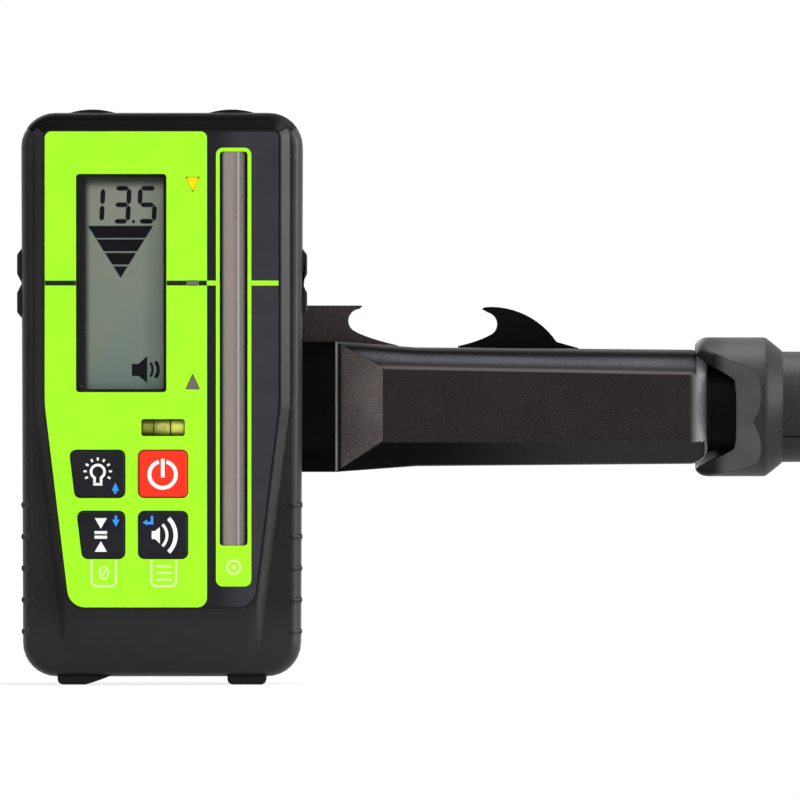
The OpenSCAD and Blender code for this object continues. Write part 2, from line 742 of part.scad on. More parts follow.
module at_pins() {
    for (x = [-pin_x, pin_x]) translate([x, 0, arm_z]) children();
}
module rear_shell() {
    color(case_black) difference() {
        union() {
            difference() {
                rotate([0, 0, 180]) case_half_form(rear_d);
                slab(-over, back_in) polygon(case_outline(wall));
            }
            at_case_screws() post([0, 0], 0, back_in + over, boss_r);
            post([0, arm_z], rear_d - insert_len - boss_wall, back_in + over, insert_r + boss_wall);
            at_pins() post([0, 0], rear_d - pin_depth - boss_wall, back_in + over, pin_r + boss_wall);
            for (side = [0, 1]) mirror([side, 0, 0])
                block([pin_half - cheek_in, hinge_y - hinge_r - cheek_wall, hinge_z - hinge_r - cheek_wall],
                    [pin_half + cheek_wall, back_in + over, hinge_z + hinge_r + cheek_wall]);
        }
        gasket_ring(set_gap);
        outer_pockets();
        at_case_screws() {
            post([0, 0], -over, rear_d + over, case_screw_r + set_gap);
            post([0, 0], rear_d - head_sink - case_head_h, rear_d + over, case_head_r + set_gap);
        }
        slab(back_in - over, rear_d + over)
            polygon(plate(0, (bay_z0 + bay_z1) / 2, 2 * (door_half + door_gap), bay_z1 - bay_z0, 1));
        post([0, arm_z], rear_d - insert_len - set_gap, rear_d + over, insert_r + set_gap);
        at_pins() post([0, 0], rear_d - pin_depth, rear_d + over, pin_r + set_gap);
        translate([-pin_half, hinge_y, hinge_z]) rotate([0, 90, 0])
            cylinder(r = hinge_r + shaft_gap, h = 2 * pin_half);
        for (k = [0:6]) {
            r = k == 0 ? 0 : sound_ring_r;
            post([r * cos(60 * k), sounder_z + r * sin(60 * k)], back_in - over, rear_d + over, sound_hole_r);
        }
    }
}

module case_gasket() {
    color(rubber_black) gasket_ring(0);
}
module case_screws() {
    color(steel) at_case_screws() {
        post([0, 0], wall - rail_d + over, rear_d - head_sink - case_head_h, case_screw_r);
        difference() {
            post([0, 0], rear_d - head_sink - case_head_h, rear_d - head_sink, case_head_r);
            for (a = [0, 90]) rotate([0, a, 0])
                block([-0.65 * case_head_r, rear_d - head_sink - cross_d, -cross_w / 2],
                    [0.65 * case_head_r, rear_d, cross_w / 2]);
        }
    }
}

// The dark overlay fills the recess in the face, and the printed labels lie on it
module face_overlay() {
    color([0.12, 0.12, 0.13]) difference() {
        slab(overlay_y, seat_y) polygon(face_outline(face_rim + slide_gap));
        slab(overlay_y - over, seat_y + over)
            polygon(plate(lcd_x, grade_z, lcd_w + 2 * set_gap, lcd_h + 2 * set_gap, 1));
        face_holes(overlay_y - over, seat_y + over);
        slab(overlay_y - over, seat_y + over) polygon(plate(vial_x, vial_z, vial_w, vial_h, 0.8));
    }
}
module keypad_label() {
    color(lime) difference() {
        slab(face_y, overlay_y) polygon(label_outline(face_rim + slide_gap));
        slab(face_y - over, overlay_y + over)
            polygon(plate(lcd_x, grade_z, lcd_w + 2 * set_gap, lcd_h + 2 * set_gap, 1));
        face_holes(face_y - over, overlay_y + over);
        slab(face_y - over, overlay_y + over) polygon(plate(vial_x, vial_z, vial_w, vial_h, 0.8));
    }
}
module window_label() {
    w = slot_w + 2 * slot_frame;
    h = slot_h + slot_frame + slot_tab;
    color(lime) difference() {
        slab(face_y, overlay_y) polygon(plate(slot_x, slot_z1 + slot_frame - h / 2, w, h, 2));
        face_holes(face_y - over, overlay_y + over);
    }
}
module display_lens() {
    color([0.6, 0.66, 0.6]) slab(face_y, face_y + lens_t) polygon(plate(lcd_x, grade_z, lcd_w, lcd_h, 0.9));
}
module display_frame() {
    color([0.2, 0.2, 0.2]) difference() {
        slab(inner_y, board_y) polygon(plate(lcd_x, grade_z, lcd_w + 4, lcd_h + 4, 1));
        slab(inner_y - over, board_y)
            polygon(plate(lcd_x, grade_z, lcd_w - 2 * lens_ledge, lcd_h - 2 * lens_ledge, 0.6));
        slab(panel_y, board_y + over)
            polygon(plate(lcd_x, grade_z, lcd_w + 1 + 2 * set_gap, lcd_h + 1 + 2 * set_gap, 0.6));
    }
}
module display_panel() {
    color([0.55, 0.6, 0.52]) slab(panel_y, panel_y + panel_t)
        polygon(plate(lcd_x, grade_z, lcd_w + 1, lcd_h + 1, 0.5));
}

// The sensor lens: a bar with a rounded front, on a flange behind the wall
module sensor_lens() {
    w = slot_w - 2 * set_gap;
    crown = 0.9;
    r = (w * w / 4 + crown * crown) / (2 * crown);
    sweep = asin(w / 2 / r);
    color([0.36, 0.34, 0.33]) {
        intersection() {
            translate([slot_x, 0, slot_z0 + set_gap]) linear_extrude(slot_h - 2 * set_gap) polygon(concat(
                [[w / 2, inner_y + over], [-w / 2, inner_y + over]],
                arc([0, overlay_y + r], r, 270 - sweep, 270 + sweep, 2 * arc_steps)));
            slab(face_y, inner_y + over) polygon(plate(slot_x, slot_z, w, slot_h - 2 * set_gap, 0.9));
        }
        slab(flange_y, flange_y + flange_t)
            polygon(plate(slot_x, slot_z, sensor_w - 2 * rail_w - 2 * set_gap, slot_h - 2, 1));
    }
}
module sensor_board() {
    color(board_green) slab(board_y, board_y + sensor_board_t)
        polygon(plate(slot_x, slot_z, sensor_w, slot_h + 2, 0.8));
}
module photodiodes() {
    pitch = slot_h / diode_count;
    color([0.08, 0.07, 0.1]) for (k = [0:diode_count - 1])
        translate([slot_x, 0, slot_z0 + (k + 0.5) * pitch])
            block([-2.4, board_y - 1.2, -0.4 * pitch], [2.4, board_y, 0.4 * pitch]);
}
module main_board() {
    color(board_green) difference() {
        slab(board_y, board_y + board_t) polygon(plate((board_x0 + board_x1) / 2, (board_z0 + board_z1) / 2,
            board_x1 - board_x0, board_z1 - board_z0, 2));
        slab(board_y - over, board_y + board_t + over)
            polygon(plate(vial_x, vial_z, vial_len + 1, 2 * vial_r + 1, 0.6));
        for (p = POSTS) post(p, board_y - over, board_y + board_t + over, board_screw_r + 0.25);
    }
}
module board_screws() {
    color(steel) for (p = POSTS) {
        post(p, board_y - 2.6, board_y + board_t, board_screw_r);
        post(p, board_y + board_t, board_y + board_t + 1.2, 2 * board_screw_r);
    }
}
// Middle of a key, where its plunger meets the switch
function key_mid(k) = [
    (key_left(k[0], key_z(k[1])) + key_right(k[0])) / 2, key_z(k[1])
];
module key_switches() {
    color([0.75, 0.75, 0.72]) for (k = KEYS) {
        p = key_mid(k);
        translate([p.x, 0, p[1]])
            block([-switch_half, board_y - switch_t / 2, -switch_half], [switch_half, board_y, switch_half]);
        post(p, board_y - switch_t, board_y - switch_t / 2, 0.8 * switch_half);
    }
}
module indicator_leds() {
    color([0.9, 0.88, 0.7]) for (z = [-led_spread, 0, led_spread])
        translate([led_x, 0, grade_z + z]) block([-1, board_y - led_chip_t, -0.6], [1, board_y, 0.6]);
}
module indicator_lenses() {
    y1 = board_y - led_chip_t - set_gap;
    color([0.95, 0.9, 0.3]) {
        slab(face_y, y1) polygon(arrow(-1, 0));
        slab(face_y, y1) polygon(arrow(1, 0));
        slab(face_y, y1) polygon(grade_light(0));
    }
}
module level_vial() {
    color([0.75, 0.8, 0.25]) translate([vial_x - vial_len / 2, vial_y, vial_z]) rotate([0, 90, 0])
        cylinder(r = vial_r, h = vial_len);
}

// A key: a cap with a sloped edge, a flange behind the wall and a plunger over its switch
module key(left, row) {
    slope = 0.35;
    hull() {
        slab(face_y - key_proud, face_y - key_proud + thin) polygon(key_outline(left, row, slope));
        slab(face_y - key_proud + slope, flange_y + flange_t) polygon(key_outline(left, row, 0));
    }
    slab(flange_y, flange_y + flange_t) polygon(key_outline(left, row, -key_flange));
    post(key_mid([left, row]), flange_y, flange_y + flange_t + plunger_h, plunger_r);
}
module light_key() {
    color([0.2, 0.2, 0.21]) key(true, 1);
}
module power_key() {
    color([0.95, 0.22, 0.16]) key(false, 1);
}
module zero_key() {
    color([0.2, 0.2, 0.21]) key(true, 0);
}
module sound_key() {
    color([0.2, 0.2, 0.21]) key(false, 0);
}
module sounder() {
    color([0.12, 0.12, 0.12]) difference() {
        post([0, sounder_z], back_in - sounder_t, back_in, sounder_r);
        post([0, sounder_z], back_in - 0.4 * sounder_t, back_in + over, sound_ring_r + sound_hole_r + 0.5);
    }
}

module left_grade_pad() {
    color(rubber_black) mirror([1, 0, 0]) grade_pad_form();
}
module right_grade_pad() {
    color(rubber_black) grade_pad_form();
}
module top_bumpers() {
    color(rubber_black) for (side = [-1, 1]) bumper_form(side);
}
module feet() {
    color(rubber_black) for (side = [-1, 1]) foot_form(side);
}

// The tray opens to the back; its upper wall is low, so that the door's lugs pass behind it
module battery_tray() {
    inner_z0 = tray_z0 + tray_t;
    inner_z1 = tray_z1 - tray_t;
    color([0.14, 0.14, 0.15]) difference() {
        block([-tray_half, tray_y0, tray_z0], [tray_half, back_in, tray_z1]);
        block([-bay_half, tray_y0 + tray_t, inner_z0], [bay_half, back_in + over, inner_z1]);
        block([-tray_half - over, hinge_y - lug_r - over, door_z1 - 6],
            [tray_half + over, back_in + over, tray_z1 + over]);
    }
}
module battery_cells() {
    for (i = [0:last_cell]) {
        up = i % 2;
        body = cell_len - nub_h;
        color([0.75, 0.76, 0.78]) translate([CELLS[i], cell_y, cell_z0 + (1 - up) * nub_h])
            cylinder(r = cell_r, h = body);
        color(steel) translate([CELLS[i], cell_y, up * body + cell_z0]) cylinder(r = nub_r, h = nub_h);
    }
}
// Strips under and over the cells, each joining two of them; an odd cell out has one of its own
module battery_contacts() {
    low = tray_z0 + tray_t;
    high = tray_z1 - tray_t;
    half = cell_r - 0.6;
    color(brass) {
        for (i = [0:2:last_cell])
            block([CELLS[i] - half, cell_y - contact_half, low],
                [CELLS[min(i + 1, last_cell)] + half, cell_y + contact_half, low + contact_t]);
        for (i = [-1:2:last_cell])
            block([CELLS[max(i, 0)] - half, cell_y - contact_half, high - contact_t],
                [CELLS[min(i + 1, last_cell)] + half, cell_y + contact_half, high]);
        for (x = CELLS) {
            translate([x, cell_y, low + contact_t]) cylinder(r = bump_r, h = contact_bump);
            translate([x, cell_y, high - contact_t - contact_bump]) cylinder(r = bump_r, h = contact_bump);
        }
    }
}
// The door hangs on two lugs and has a thumb hollow at its lower edge
module battery_door() {
    lug_x = door_half - lug_w - 1.5;
    thumb_r = 5;
    color(case_black) difference() {
        union() {
            slab(back_in, rear_d)
                polygon(plate(0, (door_z0 + door_z1) / 2, 2 * door_half, door_z1 - door_z0, 0.8));
            for (side = [0, 1]) mirror([side, 0, 0]) {
                translate([lug_x, hinge_y, hinge_z]) rotate([0, 90, 0]) cylinder(r = lug_r, h = lug_w);
                block([lug_x, back_in, door_z1 - over], [lug_x + lug_w, hinge_y + lug_r, hinge_z]);
            }
        }
        translate([-pin_half, hinge_y, hinge_z]) rotate([0, 90, 0])
            cylinder(r = hinge_r + shaft_gap, h = 2 * pin_half);
        translate([0, rear_d + 0.8 * thumb_r, door_z0 + 1.4 * thumb_r]) sphere(thumb_r);
    }
}
module door_seal() {
    seal_z = (seal_z0 + seal_z1) / 2;
    w = 2 * (door_half - slide_gap);
    h = seal_z1 - seal_z0;
    color(rubber_black) slab(back_in - seal_t, back_in) difference() {
        polygon(plate(0, seal_z, w, h, 1.5));
        polygon(plate(0, seal_z, w - 2 * seal_w, h - 2 * seal_w, 0.8));
    }
}
module door_pin() {
    color(steel) translate([-pin_half, hinge_y, hinge_z]) rotate([0, 90, 0])
        cylinder(r = hinge_r, h = 2 * pin_half);
}
module threaded_insert() {
    color(brass) difference() {
        post([0, arm_z], rear_d - insert_len, rear_d, insert_r);
        post([0, arm_z], rear_d - insert_len - over, rear_d + over, screw_r + shaft_gap);
    }
}
module locating_pins() {
    color(steel) at_pins() post([0, 0], rear_d - pin_depth + 0.2, rear_d + pin_depth - 0.2, pin_r);
}

// Corners of the arm's section in Y and Z: a front panel with slopes above and below, and sloped back edges
function arm_section(half) = [
    [arm_front, arm_z - panel_down], [arm_front + bevel_d, arm_z - half],
    [arm_back - bevel_d, arm_z - half], [arm_back, arm_z - half + bevel_d],
    [arm_back, arm_z + half - bevel_d], [arm_back - bevel_d, arm_z + half],
    [arm_front + bevel_d, arm_z + half], [arm_front, arm_z + panel_up]
];
arm_radii = [for (share = [1, 1, 0.5, 0.5, 0.5, 0.5, 1, 1]) share * arm_edge_r];
function arm_outline(half, d = 0) = outline(arm_section(half), arm_radii, d);
module arm_form() {
    hull() {
        bar(ridge_x, ridge_x + thin) translate([arm_front + bevel_d, arm_z - arm_half_root])
            square([arm_d - bevel_d, 2 * arm_half_root]);
        bar(panel_x, panel_x + thin)
            polygon(arm_outline(arm_half_root + (arm_half - arm_half_root) * ridge_run / flare_run));
        bar(flare_x - thin, flare_x) polygon(arm_outline(arm_half));
    }
    hull() {
        bar(flare_x, flare_x + thin) polygon(arm_outline(arm_half));
        for (k = [0:edge_steps]) {
            a = 90 * k / edge_steps;
            x = tail_x + tail_r * sin(a);
            bar(x - thin, x) polygon(arm_outline(arm_half_end, tail_r * (1 - cos(a))));
        }
    }
}
// The fixed hook: flat on top, hollowed towards the staff, running out in a long foot
module hook_outline() {
    c = [fixed_x + 1.2, hook_z + 0.7];
    foot = c + hook_r * [cos(foot_lean + 90), -sin(foot_lean + 90)];
    top = arm_z + hook_rise;
    polygon(concat(
        [[block_x, top], [fixed_x + 1.6, top], [fixed_x + 1.8, top - 0.3]],
        arc(c, hook_r, -265, -90 - foot_lean, 2 * arc_steps),
        swoop(foot, foot + foot_run * [cos(foot_lean), -sin(foot_lean)],
            [fixed_x + shelf_len, ledge_z + shelf_t], arc_steps),
        [[fixed_x + shelf_len, ledge_z - over], [block_x, ledge_z - over]]));
}
// The sliding jaw's fin: a curved back down to a ledge, and a hollow towards the staff
module fin_outline() {
    top = arm_z + hook_rise - 0.4;
    c = [moving_x - 1.5, hook_z - 0.3];
    foot = c + hook_r * [-cos(foot_lean + 90), -sin(foot_lean + 90)];
    polygon(concat(
        [[moving_x - 9.6, ledge_z + slide_gap], [moving_x + 26.1, ledge_z + slide_gap],
            [moving_x + 26.1, ledge_z + 1.6]],
        arc([moving_x + 0.1, top - fin_r], fin_r, 34, 94, 2 * arc_steps),
        [[moving_x - 2.6, top - 0.6]],
        arc(c, hook_r, 75, foot_lean - 90, 2 * arc_steps),
        swoop(foot, foot - foot_run * [cos(foot_lean), sin(foot_lean)],
            [moving_x - 9.6, ledge_z + shelf_t - 0.2], arc_steps)));
}
module bracket_arm() {
    color(case_black) difference() {
        union() {
            difference() {
                arm_form();
                block([block_x, ledge_y, ledge_z],
                    [arm_end + over, arm_back + over, arm_z + 2 * arm_half_root]);
            }
            slab(rear_d, plate_y1)
                polygon(plate((plate_x0 + ridge_x) / 2, arm_z + (plate_up - plate_down) / 2,
                    ridge_x - plate_x0, plate_up + plate_down, plate_corner_r));
            block([block_x, arm_front + bevel_d, arm_z - arm_half_root],
                [ridge_x + over, arm_back, arm_z + arm_half_root]);
            slab(ledge_y, arm_back) hook_outline();
            fixed_jaw();
        }
        block([channel_x0, channel_y0, arm_z - channel_half],
            [channel_x1, arm_back + over, arm_z + channel_half]);
        slab(cover_y0, arm_back + over) polygon(plate((cover_x0 + cover_x1) / 2, arm_z,
            cover_x1 - cover_x0 + 2 * set_gap, 2 * (cover_half_up + set_gap), 2));
        for (p = COVER_SCREWS)
            post(p, cover_y0 - cover_screw_len, cover_y0 + over, cover_screw_r + shaft_gap);
        shaft(channel_x0 - journal_len - 5 * set_gap, channel_x0 + over, journal_r + shaft_gap);
        shaft(channel_x1 - over, arm_end + over, bush_r + shaft_gap);
        shaft(arm_end - bush_flange_t, arm_end + over, bush_flange_r + shaft_gap);
        post([0, arm_z], rear_d - over, plate_y1 + over, screw_r + slide_gap);
        at_pins() post([0, 0], rear_d - over, rear_d + pin_depth, pin_r + shaft_gap);
    }
}
// Wall of the fixed jaw with its two webs
module fixed_jaw() {
    x1 = fixed_x - jaw_pad_t;
    x0 = x1 - jaw_t;
    block([x0, arm_back - 3, jaw_z0], [x1, jaw_y1, jaw_z1]);
    for (z = [-web_z, web_z]) translate([0, 0, arm_z + z - web_t / 2]) linear_extrude(web_t) polygon([
        [block_x, plate_y1], [x0 + over, plate_y1], [x0 + over, jaw_y1 - web_drop], [block_x, arm_back]
    ]);
}
module arm_cover() {
    color([0.2, 0.2, 0.21]) difference() {
        slab(cover_y0, arm_back) polygon(plate((cover_x0 + cover_x1) / 2, arm_z,
            cover_x1 - cover_x0, 2 * cover_half_up, 2));
        slab(cover_y0 - over, arm_back + over) polygon(plate((channel_x0 + channel_x1) / 2, arm_z,
            channel_x1 - channel_x0 - 3, 2 * slot_half, 1));
        for (p = COVER_SCREWS) {
            post(p, cover_y0 - over, arm_back + over, cover_screw_r + set_gap);
            post(p, arm_back - cover_sink - cover_head_h, arm_back + over, cover_head_r + set_gap);
        }
    }
}
module cover_screws() {
    color(steel) for (p = COVER_SCREWS) {
        head_y = arm_back - cover_sink - cover_head_h;
        post(p, cover_y0 - cover_screw_len + 2 * set_gap, head_y, cover_screw_r);
        difference() {
            post(p, head_y, arm_back - cover_sink, cover_head_r);
            translate([p.x, 0, p[1]])
                block([-cover_head_r, head_y + 0.6 * cover_head_h, -0.25], [cover_head_r, arm_back, 0.25]);
        }
    }
}
// Rubber on a jaw: flat towards the staff, from x0 to x1
module jaw_pad(x0, x1) {
    pad_y1 = jaw_y1 - jaw_trim;
    color(rubber_black) bar(x0, x1) polygon(plate((pad_y0 + pad_y1) / 2, (jaw_z0 + jaw_z1) / 2,
        pad_y1 - pad_y0, jaw_z1 - jaw_z0 - 4 * jaw_trim, 2));
}
module fixed_jaw_pad() {
    jaw_pad(fixed_x - jaw_pad_t, fixed_x);
}
module sliding_jaw_pad() {
    jaw_pad(moving_x, moving_x + jaw_pad_t);
}
module spindle_bush() {
    color(brass) {
        sleeve(channel_x1, arm_end, bush_r, tail_journal_r + shaft_gap);
        sleeve(arm_end - bush_flange_t, arm_end, bush_flange_r, tail_journal_r + shaft_gap);
    }
}
module spindle() {
    color(steel) {
        shaft(channel_x0 - journal_len, channel_x0 + slide_gap, journal_r);
        shaft(channel_x0 + slide_gap, channel_x1 - slide_gap, spindle_r);
        shaft(channel_x1 - slide_gap, knob_insert_x + knob_insert_len, tail_journal_r);
    }
}
module thrust_washer() {
    x0 = arm_end + end_play;
    color(steel) sleeve(x0, x0 + washer_t, hub_r, tail_journal_r + shaft_gap);
}
module knob_insert() {
    x1 = knob_insert_x + knob_insert_len;
    color(brass) sleeve(knob_insert_x, x1, knob_insert_r, tail_journal_r + shaft_gap);
}
// Half section of the knob, as radius and distance from its rim
module knob_section() {
    rim_r = 10;
    rim_run = 5.5;
    slope_at = skirt_len - skirt_slope;
    floor_at = cavity_floor - knob_x0;
    hub_at = hub_x - knob_x0;
    end_at = skirt_len + barrel_len;
    lip = 2;
    polygon(concat(
        [[0, hub_at], [hub_r, hub_at], [hub_r, floor_at - 0.5], [hub_r + 0.5, floor_at],
            [cup_r, floor_at], [cup_r, cup_run], [cavity_r, 0]],
        arc([skirt_r - rim_r, rim_run], rim_r, -asin(rim_run / rim_r), 0, arc_steps),
        [[skirt_r, slope_at], [barrel_r + 0.4, skirt_len]],
        arc([barrel_r - lip, end_at - lip], lip, 0, 90, arc_steps),
        [[0, end_at]]));
}
// A pair of finger hollows side by side, open towards the skirt's rim
module scallops() {
    inner = 9;
    outer = skirt_r + over;
    mouth_r = scallop_r + 7;
    cusp = 2.2;
    spread = 1.55 * scallop_r;
    half_in = spread + scallop_r;
    half_out = spread + mouth_r;
    translate([knob_x0 + scallop_x, arm_y, arm_z]) rotate([scallop_turn, 0, 0]) {
        for (k = [-1:1]) translate([0, -inner, k * spread]) rotate([90, 0, 0])
            cylinder(r1 = scallop_r, r2 = k == 0 ? mouth_r - cusp : mouth_r, h = outer - inner);
        bar(-scallop_x - over, 0)
            polygon([[-inner, -half_in], [-inner, half_in], [-outer, half_out], [-outer, -half_out]]);
    }
}
module clamp_knob() {
    color([0.18, 0.18, 0.19]) difference() {
        translate([knob_x0, arm_y, arm_z]) rotate([0, 90, 0]) rotate_extrude() knob_section();
        scallops();
        shaft(hub_x - over, knob_insert_x + knob_insert_len + shaft_gap, tail_journal_r + shaft_gap);
        shaft(knob_insert_x, knob_insert_x + knob_insert_len + shaft_gap, knob_insert_r + shaft_gap);
    }
}

// The carriage runs in the arm's channel, and its neck comes out through the cover
module jaw_carriage() {
    x0 = carriage_x - carriage_w / 2;
    x1 = carriage_x + carriage_w / 2;
    color([0.22, 0.22, 0.23]) difference() {
        union() {
            block([x0, channel_y0 + slide_gap, arm_z - carriage_half],
                [x1, cover_y0 - slide_gap, arm_z + carriage_half]);
            block([x0 + 1, cover_y0 - over, arm_z - neck_half], [x1 - 1, jaw_y0, arm_z + neck_half]);
        }
        shaft(x0 - over, x1 + over, nut_r + shaft_gap);
        for (z = JAW_SCREWS)
            post([jaw_screw_x, z], jaw_screw_y - slide_gap, jaw_y0 + over, jaw_screw_r + shaft_gap);
    }
}
module jaw_nut() {
    half = carriage_w / 2;
    color(brass) sleeve(carriage_x - half, carriage_x + half, nut_r, spindle_r + shaft_gap);
}
module jaw_screws() {
    color(steel) for (z = JAW_SCREWS) {
        post([jaw_screw_x, z], jaw_screw_y, jaw_head_y, jaw_screw_r);
        post([jaw_screw_x, z], jaw_head_y, jaw_head_y + jaw_head_h, jaw_head_r);
    }
}
module sliding_jaw() {
    x0 = moving_x + jaw_pad_t;
    x1 = x0 + jaw_t;
    foot_x1 = x0 + foot_plate_w;
    foot_y1 = jaw_y0 + foot_plate_t;
    color(case_black) difference() {
        union() {
            slab(ledge_y + 1, jaw_y0) fin_outline();
            intersection() {
                slab(jaw_y0 - thin, foot_y1) fin_outline();
                block([x0, jaw_y0 - over, ledge_z], [foot_x1 + 4, foot_y1 + over, arm_z + 2 * hook_rise]);
            }
            block([x0, jaw_y0, arm_z - 11], [foot_x1, foot_y1, ledge_z + 2]);
            block([x0, jaw_y0, jaw_z0], [x1, jaw_y1, jaw_z1]);
            for (z = [-web_z, web_z]) translate([0, 0, arm_z + z - web_t / 2]) linear_extrude(web_t) polygon([
                [x1 - over, foot_y1 - over], [foot_x1 - 1, foot_y1 - over], [foot_x1 - 1, foot_y1],
                [x1 - over, jaw_y1 - web_drop]
            ]);
        }
        for (z = JAW_SCREWS) {
            post([jaw_screw_x, z], jaw_y0 - over, foot_y1 + over, jaw_screw_r + set_gap);
            post([jaw_screw_x, z], jaw_head_y, foot_y1 + over, jaw_head_r + set_gap);
        }
    }
}

// Thumb screw with a fluted head, through the plate into the case
module bracket_screw() {
    flutes = 8;
    flute_r = 0.36 * head_r;
    flute_at = 1.2 * head_r;
    head_y = plate_y1 + washer_t + 2 * set_gap;
    color([0.18, 0.18, 0.19]) difference() {
        union() {
            post([0, arm_z], rear_d - insert_len + 0.5, head_y + over, screw_r);
            post([0, arm_z], head_y, head_y + head_h, head_r);
        }
        for (k = [0:flutes - 1]) {
            a = 360 * k / flutes;
            p = [flute_at * cos(a), arm_z + flute_at * sin(a)];
            post(p, head_y - over, head_y + head_h + over, flute_r);
        }
    }
}
module screw_washer() {
    color(steel) difference() {
        post([0, arm_z], plate_y1 + set_gap, plate_y1 + set_gap + washer_t, screw_washer_r);
        post([0, arm_z], plate_y1 - over, plate_y1 + washer_t + over, screw_r + shaft_gap);
    }
}

// Moves the whole object so that its origin is at the clamp
module placed() {
    translate(-clamp_point) children();
}
placed() front_shell();
placed() rear_shell();
placed() case_gasket();
placed() case_screws();
placed() face_overlay();
placed() keypad_label();
placed() window_label();
placed() display_lens();
placed() display_frame();
placed() display_panel();
placed() sensor_lens();
placed() sensor_board();
placed() photodiodes();
placed() main_board();
placed() board_screws();
placed() key_switches();
placed() indicator_leds();
placed() indicator_lenses();
placed() level_vial();
placed() light_key();
placed() power_key();
placed() zero_key();
placed() sound_key();
placed() sounder();
placed() left_grade_pad();
placed() right_grade_pad();
placed() top_bumpers();
placed() feet();
placed() battery_tray();
placed() battery_cells();
placed() battery_contacts();
placed() battery_door();
placed() door_seal();
placed() door_pin();
placed() threaded_insert();
placed() locating_pins();
placed() bracket_arm();
placed() arm_cover();
placed() cover_screws();
placed() fixed_jaw_pad();
placed() spindle_bush();
placed() spindle();
placed() thrust_washer();
placed() knob_insert();
placed() clamp_knob();
placed() jaw_carriage();
placed() jaw_nut();
placed() jaw_screws();
placed() sliding_jaw();
placed() sliding_jaw_pad();
placed() bracket_screw();
placed() screw_washer();
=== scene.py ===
# %% [markdown]
# # A laser receiver on its staff bracket
#
# The receiver is a hand-sized box that finds the beam of a rotating laser level. A bracket behind it
# reaches to the right, and its screw clamp grips a levelling staff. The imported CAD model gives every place
# and size, so this lesson only dresses it: rounded mouldings, prints and finishes. We keep the model's box,
# because nothing that we add may stand out of it.

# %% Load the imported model
from math import radians

import bmesh
import bpy
import numpy as np
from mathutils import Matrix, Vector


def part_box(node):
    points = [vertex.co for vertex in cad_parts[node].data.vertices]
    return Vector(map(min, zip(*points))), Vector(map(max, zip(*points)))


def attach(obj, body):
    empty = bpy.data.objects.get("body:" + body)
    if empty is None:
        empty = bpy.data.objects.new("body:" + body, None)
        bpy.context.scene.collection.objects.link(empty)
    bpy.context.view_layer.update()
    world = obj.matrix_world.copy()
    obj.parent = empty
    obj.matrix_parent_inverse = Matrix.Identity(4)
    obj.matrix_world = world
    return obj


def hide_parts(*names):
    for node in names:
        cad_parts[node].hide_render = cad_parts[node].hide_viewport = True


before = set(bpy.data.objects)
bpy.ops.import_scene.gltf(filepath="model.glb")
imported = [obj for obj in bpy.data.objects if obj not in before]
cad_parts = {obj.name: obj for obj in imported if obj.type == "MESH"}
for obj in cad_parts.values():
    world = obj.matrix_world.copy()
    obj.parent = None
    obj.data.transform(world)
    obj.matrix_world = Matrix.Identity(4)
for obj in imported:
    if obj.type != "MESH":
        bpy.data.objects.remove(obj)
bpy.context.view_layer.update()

# %% [markdown]
# ## From a drawing in millimetres to metres
#
# The shapes are drawn in millimetres, from the ground under the middle of the receiver. The imported model
# has its origin at the clamp, in metres. Small functions go from the one to the other, and the feet stand at
# height zero.

# %% Places
CLAMP = np.array([57.1, 50.75, 81.8])


def metres(points):
    """Takes the clamp's place from each point and divides by a thousand."""
    return (np.asarray(points, float) - CLAMP) / 1000


def drawn(points):
    """The other way: points of the model in millimetres of the drawing."""
    return np.asarray(points, float) * 1000 + CLAMP


def row_at(axis, mm):
    """One coordinate of the drawing, along X, Y or Z, in the model's metres."""
    return float(mm - CLAMP["XYZ".index(axis)]) / 1000


# %% [markdown]
# ## Surfaces from grids
#
# A moulded shell is a row of rings, and a turned piece is a row of circles. Both are grids of points, so
# one function joins neighbours into quads, with the last column meeting the first, and a lid closes each
# open end. The loops run over grids, never over points, because numpy works out a whole grid at once.

# %% Grids to meshes
def net(grid, ring=False):
    """A grid of points as a shell: columns go round, rows go along. A ring's last row meets its first."""
    rows, columns = grid.shape[:2]
    row = np.arange(rows if ring else rows - 1)[:, None]
    column = np.arange(columns)[None, :]
    below, beside = (row + 1) % rows, (column + 1) % columns
    corners = [row * columns + column, row * columns + beside,
               below * columns + beside, below * columns + column]
    faces = np.stack(corners, -1).reshape(-1, 4).tolist()
    if not ring:
        faces += [list(range(columns))[::-1], list(range((rows - 1) * columns, rows * columns))]
    return grid.reshape(-1, 3), faces


def joined(nets):
    """Several shells as one: each face's numbers are moved past the points before it."""
    starts = np.cumsum([0] + [len(points) for points, _ in nets])
    faces = [[c + start for c in face] for (_, part), start in zip(nets, starts) for face in part]
    return np.concatenate([points for points, _ in nets]), faces


def circle_grid(profile, middle, axis, around=40):
    """A turned shape: each (distance along the axis, radius) of the profile goes round the axis once."""
    along, radius = np.asarray(profile, float).T
    turn = np.linspace(0, 2 * np.pi, around, endpoint=False)
    axis = np.asarray(axis, float)
    first = np.array([axis[2], axis[0], axis[1]])
    second = np.cross(axis, first)
    spokes = np.cos(turn)[:, None] * first + np.sin(turn)[:, None] * second
    return np.asarray(middle, float) + along[:, None, None] * axis + radius[:, None, None] * spokes


print("grid helpers are ready")

# %% [markdown]
# ## Finishes from a few nodes
#
# Real mouldings are never one flat colour: the tool's texture shows as grain, the tone drifts, and dust
# sits on it. Every finish is built from noise on Object coordinates, which are the model's own metres, so
# the grain has one size on every piece and stays in place when a piece is exported. A colour that is the
# same all over is set on the shader itself.

# %% Finishes and their nodes
def tone(red, green, blue):
    """A colour as read from a screen, from 0 to 255, made linear as the shader needs it."""
    c = np.array([red, green, blue]) / 255
    linear = np.where(c <= 0.04045, c / 12.92, ((c + 0.055) / 1.055) ** 2.4)
    return (*linear.tolist(), 1.0)


